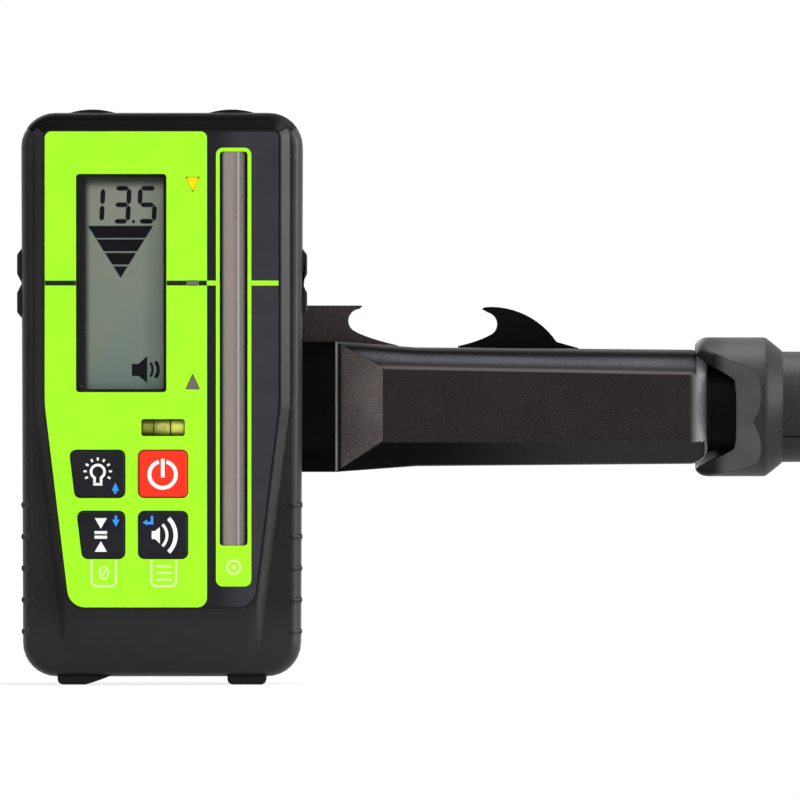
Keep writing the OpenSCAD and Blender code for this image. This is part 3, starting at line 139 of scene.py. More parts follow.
def node(owner, kind, sockets=None, **options):
    """Adds a shader node to a material or a world, and sets or links its sockets by name or number."""
    made = owner.node_tree.nodes.new("ShaderNode" + kind)
    for key, value in options.items():
        setattr(made, key, value)
    for key, value in (sockets or {}).items():
        if isinstance(value, bpy.types.NodeSocket):
            owner.node_tree.links.new(value, made.inputs[key])
        else:
            made.inputs[key].default_value = value
    return made


def shader_socket(m, key):
    """A socket of the finish's shader, named in small letters, such as specular_ior_level."""
    name = key.replace("_", " ").title().replace("Ior", "IOR")
    return m.node_tree.nodes["Principled BSDF"].inputs[name]


def new_finish(name, **plain):
    """A material with a principled shader whose plain sockets are set."""
    material = bpy.data.materials.new(name)
    material.use_nodes = True
    for key, value in plain.items():
        shader_socket(material, key).default_value = value
    return material


def copied(finish, name):
    """A copy of a finish under a new name."""
    material = finish.copy()
    material.name = name
    return material


def plug(m, **links):
    """Links outputs to the shader's sockets."""
    for key, output in links.items():
        m.node_tree.links.new(output, shader_socket(m, key))
    return m


def coords(m):
    """The Object coordinates, from one node that all textures of a finish share."""
    held = m.node_tree.nodes.get("Texture Coordinate") or node(m, "TexCoord")
    return held.outputs["Object"]


def axes_of(m):
    """X, Y and Z of the Object coordinates, as three outputs."""
    return node(m, "SeparateXYZ", {"Vector": coords(m)}).outputs


print("finishes can be built")

# %% [markdown]
# ## Masks and mixtures
#
# A finish is layers of colour, each with a mask from 0 to 1 that says how much of it shows. A mask comes
# from noise, a place or a distance, and a map range stretches it to where it is needed. With these few
# functions a finish reads as a list of its layers.

# %% Masks and mixtures
def noise(m, size_mm, detail=2.0, harsh=0.5):
    """Noise whose blobs are about size_mm across."""
    return node(m, "TexNoise", {"Vector": coords(m), "Scale": 1000 / size_mm, "Detail": detail,
                                "Roughness": harsh}).outputs[0]


def span(m, value, low=0.3, high=0.7, to_low=0.0, to_high=1.0, soft=False):
    """Stretches low to high, where most noise lies, over to_low to to_high."""
    return node(m, "MapRange", {0: value, 1: low, 2: high, 3: to_low, 4: to_high},
                interpolation_type="SMOOTHSTEP" if soft else "LINEAR").outputs[0]


def sums(owner, kind, a, b):
    """One sum of two numbers, such as MULTIPLY or MAXIMUM."""
    return node(owner, "Math", {0: a, 1: b}, operation=kind).outputs[0]


def mixed(m, share, low, high):
    """A colour between two, each an output, a linear colour or three numbers from 0 to 255."""
    low, high = (tone(*c) if isinstance(c, tuple) and len(c) == 3 else c for c in (low, high))
    return node(m, "Mix", {0: share, 6: low, 7: high}, data_type="RGBA").outputs[2]


def layered(m, colour, *layers):
    """Lays colours over a first one, each by its own share."""
    for share, over in layers:
        colour = mixed(m, share, colour, over)
    return colour


def overlaid(m, share, colour):
    """Mixes a colour over the base colour that a finish has."""
    before = shader_socket(m, "base_color").links[0].from_socket
    return plug(m, base_color=mixed(m, share, before, colour))


def fade_along(m, axis, start, end, colour):
    """Mixes a colour over a finish along an axis of the drawing: none at start, all of it at end, in mm."""
    share = span(m, axes_of(m)[axis], row_at(axis, start), row_at(axis, end), soft=True)
    return overlaid(m, share, colour)


def dust(m, cell_mm, dot, few):
    """Specks: 1 near the middle of some random cells. Few, from 0 to 1, leaves most cells out."""
    cells = node(m, "TexVoronoi", {"Vector": coords(m), "Scale": 1000 / cell_mm})
    near = span(m, cells.outputs["Distance"], dot, 0.6 * dot)
    chosen = span(m, cells.outputs["Color"], few, few + 0.01)
    return sums(m, "MULTIPLY", near, chosen)


def bump(m, height, depth_mm, strength):
    """A normal that a height between 0 and 1 lifts by up to depth_mm."""
    return node(m, "Bump", {"Strength": strength, "Distance": depth_mm / 1000, "Height": height}).outputs[0]


print("masks and mixtures are ready")

# %% [markdown]
# ## Moulded plastics and rubber
#
# The case, the bracket and the knob are dark plastic, but each tool was textured in its own way. The case is
# fine and even; painted light makes its chin paler and painted shade makes its top black. The bracket is
# coarse and a little brown, with pale points. The knob is smoother. One function makes them all from a tone,
# a grain size and a grain depth.

# %% Moulded finishes
DUST_TONE, POINT_TONE = (150, 146, 140), (150, 132, 122)


def moulded(name, dark, pale, grain_mm, depth_mm, rough, specular=0.12, few=0.8, points=0.0):
    """Grain lifts the surface; the tone drifts between dark and pale; grain, points and dust are paler."""
    m = new_finish(name, specular_ior_level=specular)
    grain = noise(m, grain_mm, 3.0, 0.6)
    drift = span(m, noise(m, 17.0, 3.0, 0.55))
    layers = [(span(m, grain, 0.5, 0.75, 0.0, 0.4), tuple(2 * value for value in pale))]
    if points:
        glint = noise(m, 0.8 * grain_mm, 1.0)
        layers.append((span(m, glint, 0.62, 0.75, 0.0, points), POINT_TONE))
    layers.append((dust(m, 2.2, 0.06, few), DUST_TONE))
    colour = layered(m, mixed(m, drift, dark, pale), *layers)
    roughness = span(m, grain, to_low=rough - 0.07, to_high=rough + 0.07)
    return plug(m, base_color=colour, roughness=roughness, normal=bump(m, grain, depth_mm, 0.6))


case_plastic = moulded("moulded_case", (21, 21, 22), (29, 29, 30), 0.45, 0.05, 0.42, few=0.7)
# Painted light makes the chin paler below 26 mm, and painted shade turns the top black above 163 mm.
fade_along(case_plastic, "Z", 26, 15, (36, 36, 37))
fade_along(case_plastic, "Z", 163.2, 164.6, (7, 7, 7))
bracket_plastic = moulded("grained_bracket", (19, 17, 17), (29, 26, 26), 0.34, 0.06, 0.4, few=0.86,
                          points=0.28)
# The arm's rounded end next to the knob turns pale grey: a painted highlight.
arm_with_painted_highlight = copied(bracket_plastic, "arm_end_painted_highlight")
fade_along(arm_with_painted_highlight, "X", 155.5, 159.5, (140, 140, 142))
# A black finish with almost no gloss, used as painted shade on faces that lie in shadow.
painted_shade_plastic = moulded("painted_shade_plastic", (7, 7, 7), (13, 12, 12), 0.34, 0.06, 0.5, specular=0.02,
                            few=1.0)
cover_plastic = moulded("bracket_cover", (20, 20, 21), (28, 28, 29), 0.5, 0.04, 0.5)
knob_plastic = moulded("soft_touch_knob", (25, 25, 25), (35, 35, 34), 0.55, 0.05, 0.5, few=0.9)
rubber = moulded("black_rubber", (10, 10, 10), (17, 17, 18), 0.6, 0.04, 0.65, few=0.9)
inner_plastic = moulded("inner_plastic", (18, 18, 19), (26, 26, 27), 0.6, 0.03, 0.55, few=1.0)
print("plastics:", case_plastic.name, bracket_plastic.name, knob_plastic.name, rubber.name)

# %% [markdown]
# ## Printed films and inks
#
# The face carries a dark overlay film with a lime label on it. Films are smooth, with a faint orange-peel
# and a trace of dust. Inks lie on top and are flatter still. Roughness varies just enough to break up a
# reflection.

# %% Film and ink finishes
def film(name, colour, rough=0.5, peel_mm=0.9, depth_mm=0.006, shift=0.06, few=1.0):
    """A printed film: its colour drifts by a small share, and a shallow orange-peel breaks the gloss."""
    m = new_finish(name, specular_ior_level=0.12)
    base = np.array(tone(*colour)[:3])
    low, high = ((*np.minimum(base * share, 1.0).tolist(), 1.0) for share in (1 - shift, 1 + shift))
    drift = span(m, noise(m, 9.0, 3.0))
    shade = layered(m, mixed(m, drift, low, high), (dust(m, 3.0, 0.05, few), (205, 205, 200)))
    peel = noise(m, peel_mm)
    roughness = span(m, peel, to_low=rough - 0.05, to_high=rough + 0.05)
    return plug(m, base_color=shade, roughness=roughness, normal=bump(m, peel, depth_mm, 0.5))


label_film = film("lime_label", (160, 244, 38), few=0.95)
overlay_film = film("dark_overlay", (48, 47, 54), 0.42, peel_mm=0.35, depth_mm=0.03, shift=0.12, few=0.7)
# Towards the left of the sensor slot the overlay turns darker: a painted shade.
fade_along(overlay_film, "X", 25, 15, (24, 24, 30))
white_ink = film("white_ink", (238, 240, 238))
pale_ink = film("pale_ink", (218, 252, 160))
blue_ink = film("blue_ink", (58, 146, 240))
black_ink = film("black_ink", (22, 30, 18))
display_ink = film("display_segments", (6, 6, 14), 0.4, few=0.9)
dark_key_skin = film("dark_key", (24, 24, 30), 0.45, peel_mm=0.4, depth_mm=0.02, shift=0.15, few=0.9)
red_key_skin = film("red_key", (236, 50, 30), 0.45, peel_mm=0.4, depth_mm=0.02, shift=0.05, few=0.96)
print("films and inks: lime, dark, white, pale, blue, black")

# %% [markdown]
# ## Metals
#
# The screws and pins are bright steel, and the bushes, nuts and contacts are brass. Fine lathe marks make
# their shine uneven, so the roughness follows a noise that is stretched along one direction.

# %% Metal finishes
MARKS = (2200.0, 260.0, 2200.0)


def metal(name, dark, pale, rough):
    """A metal whose tone and roughness vary along fine marks."""
    m = new_finish(name, metallic=1.0)
    stretched = node(m, "Mapping", {"Vector": coords(m), "Scale": MARKS}).outputs[0]
    marks = node(m, "TexNoise", {"Vector": stretched, "Scale": 1.0, "Detail": 3.0}).outputs[0]
    roughness = span(m, marks, to_low=rough - 0.06, to_high=rough + 0.08)
    return plug(m, base_color=mixed(m, span(m, marks), dark, pale), roughness=roughness,
                normal=bump(m, marks, 0.02, 0.25))


steel = metal("bright_steel", (150, 152, 156), (188, 190, 194), 0.32)
dark_steel = metal("blackened_steel", (12, 12, 13), (22, 22, 23), 0.5)
oiled_bronze = metal("oiled_bronze", (34, 26, 14), (56, 43, 24), 0.45)
brass = metal("turned_brass", (170, 136, 70), (206, 172, 98), 0.34)
print("metals:", steel.name, brass.name)

# %% [markdown]
# ## Putting a piece into the model
#
# Every piece ends the same way: its sharp corners are marked by their angle, and it is told which body
# carries it and which CAD node it stands for. Face-weighted normals keep
# broad faces flat next to rounded edges.

# %% Settle a piece
CREASE = 32


def settle(name, mesh, finish, stands_for, body, crease=CREASE, bevel_mm=0.0):
    """Shades a mesh smooth up to the crease angle, bevels what is sharper, and hands it to the frame."""
    mesh.shade_smooth()
    mesh.set_sharp_from_angle(angle=radians(crease))
    mesh.materials.clear()
    mesh.materials.append(finish)
    made = bpy.data.objects.new(name, mesh)
    bpy.context.scene.collection.objects.link(made)
    if bevel_mm:
        edge = made.modifiers.new("rounded_edges", "BEVEL")
        edge.width = bevel_mm / 1000
        edge.segments = 3
        edge.limit_method = "ANGLE"
        edge.angle_limit = radians(crease)
        edge.harden_normals = True
    weights = made.modifiers.new("flat_faces", "WEIGHTED_NORMAL")
    weights.keep_sharp = True
    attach(made, body)
    if stands_for:
        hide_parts(*stands_for)
    return made


def piece(name, nets, finish, stands_for=(), body="receiver", crease=CREASE):
    """A piece from shells in the drawing's millimetres."""
    points, faces = joined(nets)
    mesh = bpy.data.meshes.new(name)
    mesh.from_pydata(metres(points).tolist(), [], faces)
    shape = bmesh.new()
    shape.from_mesh(mesh)
    bmesh.ops.recalc_face_normals(shape, faces=shape.faces)
    shape.to_mesh(mesh)
    shape.free()
    return settle(name, mesh, finish, stands_for, body, crease)


print("pieces can be placed")

# %% [markdown]
# ## Outlines with rounded corners
#
# Seen from the front, the case, the face, the keys and the windows are polygons with rounded corners. An
# outline that is drawn in keeps its corners' centres, so it lies evenly inside the larger one. If two have
# the same number of corners, their points match and a surface can run between them.

# %% Rounded outlines
QUARTER_TURN = [[0, 1], [-1, 0]]


def outline(corners, radii, inset=0.0, steps=8, spread=0.0):
    """Each corner becomes an arc from one side's direction to the next; spread lays it along its side."""
    corner = np.asarray(corners, float)
    into = corner - np.roll(corner, 1, 0)
    into /= np.linalg.norm(into, axis=1)[:, None]
    away = np.roll(into, -1, 0)
    side_in, side_out = into @ QUARTER_TURN, away @ QUARTER_TURN
    inward = side_in + side_out
    inward /= np.linalg.norm(inward, axis=1)[:, None]
    lean = np.clip(np.sum(inward * side_out, 1), -1, 1)
    radius = np.maximum(np.asarray(radii, float) - inset, 0.2)
    centre = corner + inward * ((inset + radius) / lean)[:, None]
    start = np.arctan2(-side_in[:, 1], -side_in[:, 0])
    t = np.linspace(0, 1, steps + 1)
    angle = start[:, None] + 2 * np.arccos(lean)[:, None] * t
    arcs = centre[:, None] + radius[:, None, None] * np.stack([np.cos(angle), np.sin(angle)], -1)
    stretch = np.broadcast_to(np.asarray(spread, float), len(corner))[:, None, None]
    return (arcs + stretch * (t - 0.5)[None, :, None] * ((into + away) / 2)[:, None]).reshape(-1, 2)


def at_depth(flat, y):
    """An outline in X and Z, put at a depth Y."""
    return np.stack([flat[:, 0], np.full(len(flat), y), flat[:, 1]], 1)


def box_outline(x, z, w, h, r, inset=0.0):
    """A rectangle with rounded corners about a middle."""
    a, b = w / 2, h / 2
    return outline([[x - a, z - b], [x + a, z - b], [x + a, z + b], [x - a, z + b]], [r] * 4, inset)


def stacked(shape, steps):
    """The rings of an outline, a function of its inset, at a list of insets and depths."""
    return [at_depth(shape(inset), y) for inset, y in steps]


print("a rounded box has", len(box_outline(0, 0, 2, 2, 0.5)), "points")

# %% [markdown]
# ## Outlines of the case and the face
#
# The case tapers a little towards the bottom, and the face draws in below the waist, where it has a bend.
# A surface is to run from one to the other, so the plain case is given two extra corners at its waist.

# %% Case and face
CASE_LOW, CASE_HIGH, WAIST = 2.4, 168.4, 82.4
CASE_HALF, CASE_TAPER, CASE_R, WAIST_SPREAD = 41.5, 0.6, 10, 4.8
FACE_LOW, FACE_HIGH, FACE_HALF, FACE_DRAW = 22.1, 163.5, 35.1, 7.3
FACE_RADII = [6, 6, 40, 2.6, 2.6, 40]
FACE_Y, OVERLAY_Y, SEAT_Y, INNER_Y, RAIL_Y = -15.0, -14.8, -14.3, -12.1, -11.8


def case_half(z):
    """Half the case's width, which draws in evenly towards the bottom."""
    return CASE_HALF - CASE_TAPER * (CASE_HIGH - z) / (CASE_HIGH - CASE_LOW)


def face_half(z):
    """Half the face's width, which draws in below the waist."""
    return FACE_HALF - FACE_DRAW * max(0.0, WAIST - z) / (WAIST - FACE_LOW)


def six_corners(half, low, high):
    """Corners of an outline with a bend or a point at the waist, from the lower left round to the left."""
    right = [[half(low), low], [half(WAIST), WAIST], [half(high), high]]
    return [[-half(low), low]] + right + [[-x, z] for x, z in right[:0:-1]]


def case_ring(inset, y):
    """The case's outline at a depth, with the waist's points spread along the straight sides."""
    corners = six_corners(case_half, CASE_LOW, CASE_HIGH)
    spread = [0, 0, WAIST_SPREAD] * 2
    return at_depth(outline(corners, [CASE_R] * 6, inset, spread=spread), y)


def face_ring(inset, y, low=FACE_LOW):
    """The face's outline at a depth, with its lower side at any height."""
    return at_depth(outline(six_corners(face_half, low, FACE_HIGH), FACE_RADII, inset), y)


print("face outline has", len(face_ring(0, FACE_Y)), "points, case outline", len(case_ring(0, 0)))

# %% [markdown]
# ## The front housing
#
# This is the moulding round the face: rounded edges, flat rails, a sloped step up to the face, and a broad
# chin under it. It could be cut out of a block with bevels, but the chin's sweep would be hard to control.
# As a row of rings it is simple: each is the case's or the face's outline at some inset and depth, and the
# chin comes from lowering the face's foot as the slope runs out. Along the top, rings that would pass under
# the slope stop at its foot. The last rings go inside and meet the first, so the shell has a real wall.

# %% Front housing
CHIN_DROP, CHAMFER, RISE, EDGE_W, EDGE_D = 13.6, 2.6, 3.2, 3.4, 5.8
BACK_Y, INSIDE_Y, WALL = -0.02, RAIL_Y + 2.2, 2.2
turn = np.radians(np.linspace(0, 90, 10))
drop = np.linspace(1, 0, 12)
slope = 0.12 * drop + 0.88 * drop ** 2
foot = face_ring(-CHAMFER, RAIL_Y, FACE_LOW - CHIN_DROP)
past = np.clip((foot[:, 2] - CASE_HIGH + EDGE_W) / EDGE_W, 0, 1)
foot[:, 1] += EDGE_D * (1 - np.sqrt(1 - past ** 2))
rounding = [case_ring(EDGE_W * (1 - np.cos(a)), RAIL_Y + EDGE_D * (1 - np.sin(a))) for a in turn]
rounding = [np.where((past[:, None] > 0) & (ring[:, 2:] < foot[:, 2:]), foot, ring) for ring in rounding]
chin = [face_ring(-CHAMFER * s, FACE_Y + RISE * s, FACE_LOW - CHIN_DROP * d)
        for d, s in zip(drop[1:-1], slope[1:-1])]
back_edge = [(0.9, BACK_Y), (0.35, BACK_Y), (0.08, -0.2), (0.0, -0.5)]
face_edge = [(-0.2, FACE_Y + 0.18), (-0.02, FACE_Y + 0.03), (0.14, FACE_Y), (0.36, FACE_Y),
             (0.42, FACE_Y + 0.08), (0.42, SEAT_Y), (1.6, SEAT_Y), (1.6, INSIDE_Y)]
rings = [case_ring(*step) for step in back_edge] + rounding + [foot] + chin
rings += [face_ring(*step) for step in face_edge] + [case_ring(WALL, INSIDE_Y), case_ring(WALL, BACK_Y)]
housing = [net(np.stack(rings), ring=True)]
print("front housing:", len(rings), "rings of", rings[0].shape[0], "points")

# %% [markdown]
# ## Wells and ribs of the housing
#
# The housing also has a ledge round the display, a short wall round every key and round the sensor slot,
# and five finger ribs on the rounded edge of each side. A well is a frame: an outline and a larger one,
# each at two depths, joined in a ring. A rib is a capsule, which is a sphere whose halves are pulled apart.

# %% Wells and ribs
LCD_X, GRADE_Z, LCD_W, LCD_H, LEDGE_Y = -11.9, 118.2, 26.4, 64.0, -13.98
SLOT_X, SLOT_LOW, SLOT_HIGH, SLOT_W = 21.17, 40.95, 156.9, 8.2
KEY_H, KEY_R, KEY_ROWS = 13.65, 1.6, (44.12, 62.07)
KEY_LEFT, KEY_RIGHT, KEY_MARGIN = -10.98, (-6.69, 7.52), 6.53
KEYS = {"light_key": (True, 1), "power_key": (False, 1), "zero_key": (True, 0), "sound_key": (False, 0)}
RIB_TOP, RIB_STEP, RIB_COUNT, RIB_R = WAIST - 29.5, 9.3, 5, 1.25
RIB_ENDS = ((0.8, 0.15), (0.25, 0.62))


def frame_net(shape, inner, outer, front, back=INNER_Y):
    """A frame round an opening: the outline at two insets and two depths, closed into a ring."""
    steps = [(outer, front), (inner, front), (inner, back), (outer, back)]
    return net(np.stack(stacked(shape, steps)), ring=True)


def capsule(a, b, r):
    """A sphere's circles of latitude, the upper half moved to b and the lower half to a."""
    a, b = np.asarray(a, float), np.asarray(b, float)
    along = (b - a) / np.linalg.norm(b - a)
    side = np.cross(along, [0, 0, 1.0])
    up = np.cross(side, along)
    lat = np.radians(np.linspace(-88, 88, 16))[:, None, None]
    lon = np.linspace(0, 2 * np.pi, 20, endpoint=False)[None, :, None]
    ends = np.where(lat < 0, a, b)
    return net(ends + r * (np.sin(lat) * along + np.cos(lat) * (np.cos(lon) * side + np.sin(lon) * up)))


def key_outline(inset, left, row):
    """A key's outline: the left-hand keys follow the slanted side of the face."""
    low, high = KEY_ROWS[row] - KEY_H / 2, KEY_ROWS[row] + KEY_H / 2
    x0 = [KEY_MARGIN - face_half(z) for z in (low, high)] if left else [KEY_RIGHT[0]] * 2
    x1 = KEY_LEFT if left else KEY_RIGHT[1]
    return outline([[x0[0], low], [x1, low], [x1, high], [x0[1], high]], [KEY_R] * 4, inset)


window = (LCD_X, GRADE_Z, LCD_W, LCD_H, 1)
slit = (SLOT_X, (SLOT_LOW + SLOT_HIGH) / 2, SLOT_W, SLOT_HIGH - SLOT_LOW, 1)
housing.append(frame_net(lambda d: box_outline(*window, d), 0.8, -0.1, LEDGE_Y))
housing.append(frame_net(lambda d: box_outline(*slit, d), 0.0, -0.7, SEAT_Y))
for left, row in KEYS.values():
    housing.append(frame_net(lambda d: key_outline(d, left, row), -0.3, -1.0, SEAT_Y))
for z in RIB_TOP - RIB_STEP * np.arange(RIB_COUNT):
    for side in (-1, 1):
        ends = [[side * (case_half(z) - a * EDGE_W), RAIL_Y + b * EDGE_D, z] for a, b in RIB_ENDS]
        housing.append(capsule(*ends, RIB_R))
front_housing = piece("front_housing", housing, case_plastic, ["front_shell"], crease=36)
print("front housing:", len(front_housing.data.polygons), "faces")

# %% [markdown]
# ## Softened copies of plain solids
#
# Many solids have the right shape already: the back of the case, the arm, the jaws, pads, pins and screws.
# A real moulding has no knife edges, so each gets a copy whose triangles are merged into flat faces and
# whose edges get a small bevel that catches the light. Redrawing them point by point would only bring new
# mistakes.

# %% Softened pieces
def softened(name, cad, finish, slot, bevel_mm, body="receiver"):
    """A merged copy of a CAD node, with flat areas dissolved and a bevel on its sharp edges."""
    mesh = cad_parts[cad].data.copy()
    mesh.name = name
    shape = bmesh.new()
    shape.from_mesh(mesh)
    bmesh.ops.remove_doubles(shape, verts=shape.verts, dist=2e-6)
    bmesh.ops.dissolve_limit(shape, angle_limit=radians(0.6), verts=shape.verts, edges=shape.edges)
    shape.to_mesh(mesh)
    shape.free()
    return settle(name, mesh, finish, [cad], body, bevel_mm=bevel_mm)


SOFT = [
    ("rear_housing", "rear_shell", case_plastic, "case_plastic", 0.3),
    ("left_pad", "left_grade_pad", case_plastic, "rubber", 0.3),
    ("right_pad", "right_grade_pad", case_plastic, "rubber", 0.3),
    ("bumpers", "top_bumpers", rubber, "rubber", 0.35),
    ("rubber_feet", "feet", rubber, "rubber", 1.6),
    ("case_screw_set", "case_screws", steel, "steel", 0.1),
    ("sound_capsule", "sounder", inner_plastic, "inner_plastic", 0.2),
    ("door_hinge_pin", "door_pin", steel, "steel", 0.1),
    ("case_insert", "threaded_insert", brass, "brass", 0.15),
    ("plate_pins", "locating_pins", steel, "steel", 0.3),
    ("contact_strips", "battery_contacts", brass, "brass", 0.08),
    ("battery_lid", "battery_door", case_plastic, "case_plastic", 0.35, "battery_door"),
    ("lid_seal", "door_seal", rubber, "rubber", 0.15, "battery_door"),
    ("staff_arm", "bracket_arm", arm_with_painted_highlight, "bracket_plastic", 0.45),
    ("channel_cover", "arm_cover", cover_plastic, "bracket_plastic", 0.25),
    ("cover_screw_set", "cover_screws", steel, "steel", 0.08),
    ("fixed_pad", "fixed_jaw_pad", rubber, "rubber", 0.4),
    ("arm_bush", "spindle_bush", oiled_bronze, "brass", 0.12),
    ("washer_ring", "thrust_washer", dark_steel, "steel", 0.12, "clamp_knob"),
    ("knob_bush", "knob_insert", brass, "brass", 0.12, "clamp_knob"),
    ("slide_block", "jaw_carriage", cover_plastic, "bracket_plastic", 0.25, "sliding_jaw"),
    ("drive_nut", "jaw_nut", brass, "brass", 0.15, "sliding_jaw"),
    ("jaw_screw_set", "jaw_screws", steel, "steel", 0.1, "sliding_jaw"),
    ("moving_jaw", "sliding_jaw", bracket_plastic, "bracket_plastic", 0.45, "sliding_jaw"),
    ("moving_pad", "sliding_jaw_pad", rubber, "rubber", 0.4, "sliding_jaw"),
    ("plate_washer", "screw_washer", steel, "steel", 0.15, "bracket_screw"),
]
soft = {row[0]: softened(*row) for row in SOFT}
print("softened", len(soft), "pieces")

# %% [markdown]
# ## The left foot's slanted side
#
# The left foot has a long slanted side, like a boat's bow. A slant is only a shift along X that grows with
# height, so we move the vertices of that side and leave the rest alone. The bevel comes after this, so the
# new edges are rounded too.

# %% Slanted foot
FOOT_MIDDLE, FOOT_END, FOOT_SLANT, FOOT_TUCK = -24.8, -19.0, 6.5, 2.6


def shift_vertices(mesh, axis, shift):
    """Moves vertices along one axis by a function of their places, in millimetres of the drawing."""
    places = np.empty(3 * len(mesh.vertices))
    mesh.vertices.foreach_get("co", places)
    places = drawn(places.reshape(-1, 3))
    moves = shift(*places.T)
    places[:, axis] += moves
    mesh.vertices.foreach_set("co", metres(places).ravel())
    mesh.update()
    print(mesh.name, "has", np.count_nonzero(moves), "moved vertices")


def slant(x, y, z):
    """In at the ground and out at the case, the more so the nearer to the foot's inner end."""
    reach = np.clip((x - FOOT_MIDDLE) / (FOOT_END - FOOT_MIDDLE), 0, 1) * (x < 0)
    return reach * (FOOT_SLANT * z / CASE_LOW - FOOT_TUCK)


shift_vertices(soft["rubber_feet"].data, 0, slant)

# %% [markdown]
# ## The upper edge of the arm's panel
#
# The slope above the arm's front panel grows broader towards the knob, so the panel's upper edge runs down
# along the arm. In the CAD model it is straight. We lower its vertices by a drop that grows along the arm,
# and those behind it by a share.

# %% Panel edge
FLARE_X, END_X, EDGE_Y, RIM_Y, PANEL_Z = 65.0, 157.0, 18.2, 22.0, 92.5
ROOT_DROP, MORE_DROP = 0.9, 1.6


def lowered(x, y, z):
    """A drop that grows along the arm, in full on the edge and fading out towards the rim."""
    edge = (x > FLARE_X - 0.1) & (y < RIM_Y) & (z > PANEL_Z)
    share = np.clip((RIM_Y - y) / (RIM_Y - EDGE_Y), 0, 1)
    return -(edge * share * (ROOT_DROP + MORE_DROP * (x - FLARE_X) / (END_X - FLARE_X)))


arm = soft["staff_arm"].data
shift_vertices(arm, 2, lowered)

# %% [markdown]
# ## Finishes with painted light and painted shade
#
# The arm's upper slope and the slope at its root get painted light: they are paler, and bands of painted
# highlight and painted shade run along their edges. Each finish is a moulded plastic with a few fades along
# one axis.

# %% Finishes with painted light
# The slope at the arm's root is paler: painted light.
painted_light_bracket = moulded("painted_light_bracket", (58, 53, 52), (82, 76, 75), 0.3, 0.05, 0.4, few=1.0, points=0.4)
slope_with_painted_light = moulded("slope_painted_bands", (52, 53, 57), (64, 65, 69), 0.34, 0.05, 0.5, specular=0.03, few=1.0,
                        points=0.1)
hook_plastic = moulded("hook_plastic", (34, 29, 29), (50, 43, 43), 0.34, 0.06, 0.5, few=1.0, points=0.2)
# The lower slope starts from the painted-shade black, with a greyer painted light in its middle.
lower_slope_shade = copied(painted_shade_plastic, "lower_slope_painted_shade")
# Bands of painted light and shade: on the upper slope a dark painted shade under the rim, a painted highlight
# on the rim, a grey band and a pale painted highlight along the panel's top edge; at the root a painted
# shadow strip and a painted highlight on the ridge.
BANDS = [
    (slope_with_painted_light, "Y", 19.4, 20.7, (9, 9, 10)), (slope_with_painted_light, "Y", 20.9, 22.0, (64, 64, 65)),
    (slope_with_painted_light, "Y", 18.9, 17.8, (40, 39, 40)), (slope_with_painted_light, "Y", 17.5, 17.15, (84, 79, 77)),
    (lower_slope_shade, "X", 75, 130, (38, 39, 38)),
    (painted_light_bracket, "X", 53.2, 52.3, (18, 16, 16)), (painted_light_bracket, "X", 51.8, 51.4, (146, 146, 144)),
]
for band in BANDS:
    fade_along(*band)
print("worn finishes with", len(BANDS), "bands")

# %% [markdown]
# ## Faces that get them
#
# The block beside the arm's root, the fins and the top of the case get painted shade: a black finish with
# almost no gloss. All of these are whole faces, so we find them by the direction that they look in and by
# their place.

# %% Faces with painted light and painted shade
RIDGE_X, HOOK_Z, FIN_X, FIN_Z, TOP_Z = 51.0, 101.8, 85.0, 99.6, 160.5
AXIS_Y, AXIS_Z = 28.0, 81.8


def face_places(mesh):
    """The direction of every face and its middle in the drawing's millimetres, as rows of X, Y and Z."""
    facing, middle = np.empty((2, 3 * len(mesh.polygons)))
    mesh.polygons.foreach_get("normal", facing)
    mesh.polygons.foreach_get("center", middle)
    return facing.reshape(-1, 3).T, drawn(middle.reshape(-1, 3)).T


def give_faces(mesh, *layers):
    """Appends finishes and gives each of them the faces where its mask is true."""
    index = np.zeros(len(mesh.polygons), np.int32)
    for finish, mask in layers:
        index[mask] = len(mesh.materials)
        mesh.materials.append(finish)
    mesh.polygons.foreach_set("material_index", index)


(to_x, to_y, to_z), (x, y, z) = face_places(arm)
# Masks for the faces that get painted light or painted shade, by their direction and place.
root = x < RIDGE_X
painted_lit = (to_x < -0.2) & (to_y < -0.7) & ~root
black = (root & (z < HOOK_Z)) | ((x > FIN_X) & (z > FIN_Z))
lower = ~root & (to_y < -0.5) & (to_z < -0.4)
upper = (x > RIDGE_X) & (z > AXIS_Z) & (z < HOOK_Z) & ~black
upper &= (np.abs(to_x) < 0.2) & (to_y < -0.2) & (to_z > 0.08)
hook = (z > HOOK_Z) & (x < FLARE_X) & (to_y < -0.7)
give_faces(arm, (painted_light_bracket, painted_lit), (painted_shade_plastic, black), (lower_slope_shade, lower),
           (slope_with_painted_light, upper), (hook_plastic, hook))
jaw = soft["moving_jaw"].data
(_, to_y, _), _ = face_places(jaw)
# The jaw's front faces get the painted-shade black.
give_faces(jaw, (painted_shade_plastic, to_y < -0.5))
# The case's top faces get the painted-shade black.
(to_x, _, to_z), (_, _, z) = face_places(front_housing.data)
on_top = (z > TOP_Z) & (to_z > 0.05 + 0.7 * np.abs(to_x))
give_faces(front_housing.data, (painted_shade_plastic, on_top))
print("faces: worn", painted_lit.sum(), "black", black.sum(), "lower", lower.sum(), "upper", upper.sum())

# %% [markdown]
# ## Keys
#
# A key is a rubbery cap in a well, with a rounded edge and a top that dishes in for the finger. It is a
# stack of its own outline: up the flange and the side, over a quarter round, and in towards the middle. The
# dish keeps the printed symbols just under the key's highest point.

# %% Key caps
KEY_TOP, FLANGE, FLANGE_Y, KEY_DISH = -15.56, 0.9, -11.95, 0.05
DISH_STEPS = (0.9, 0.7, 0.45, 0.2, 0.04)


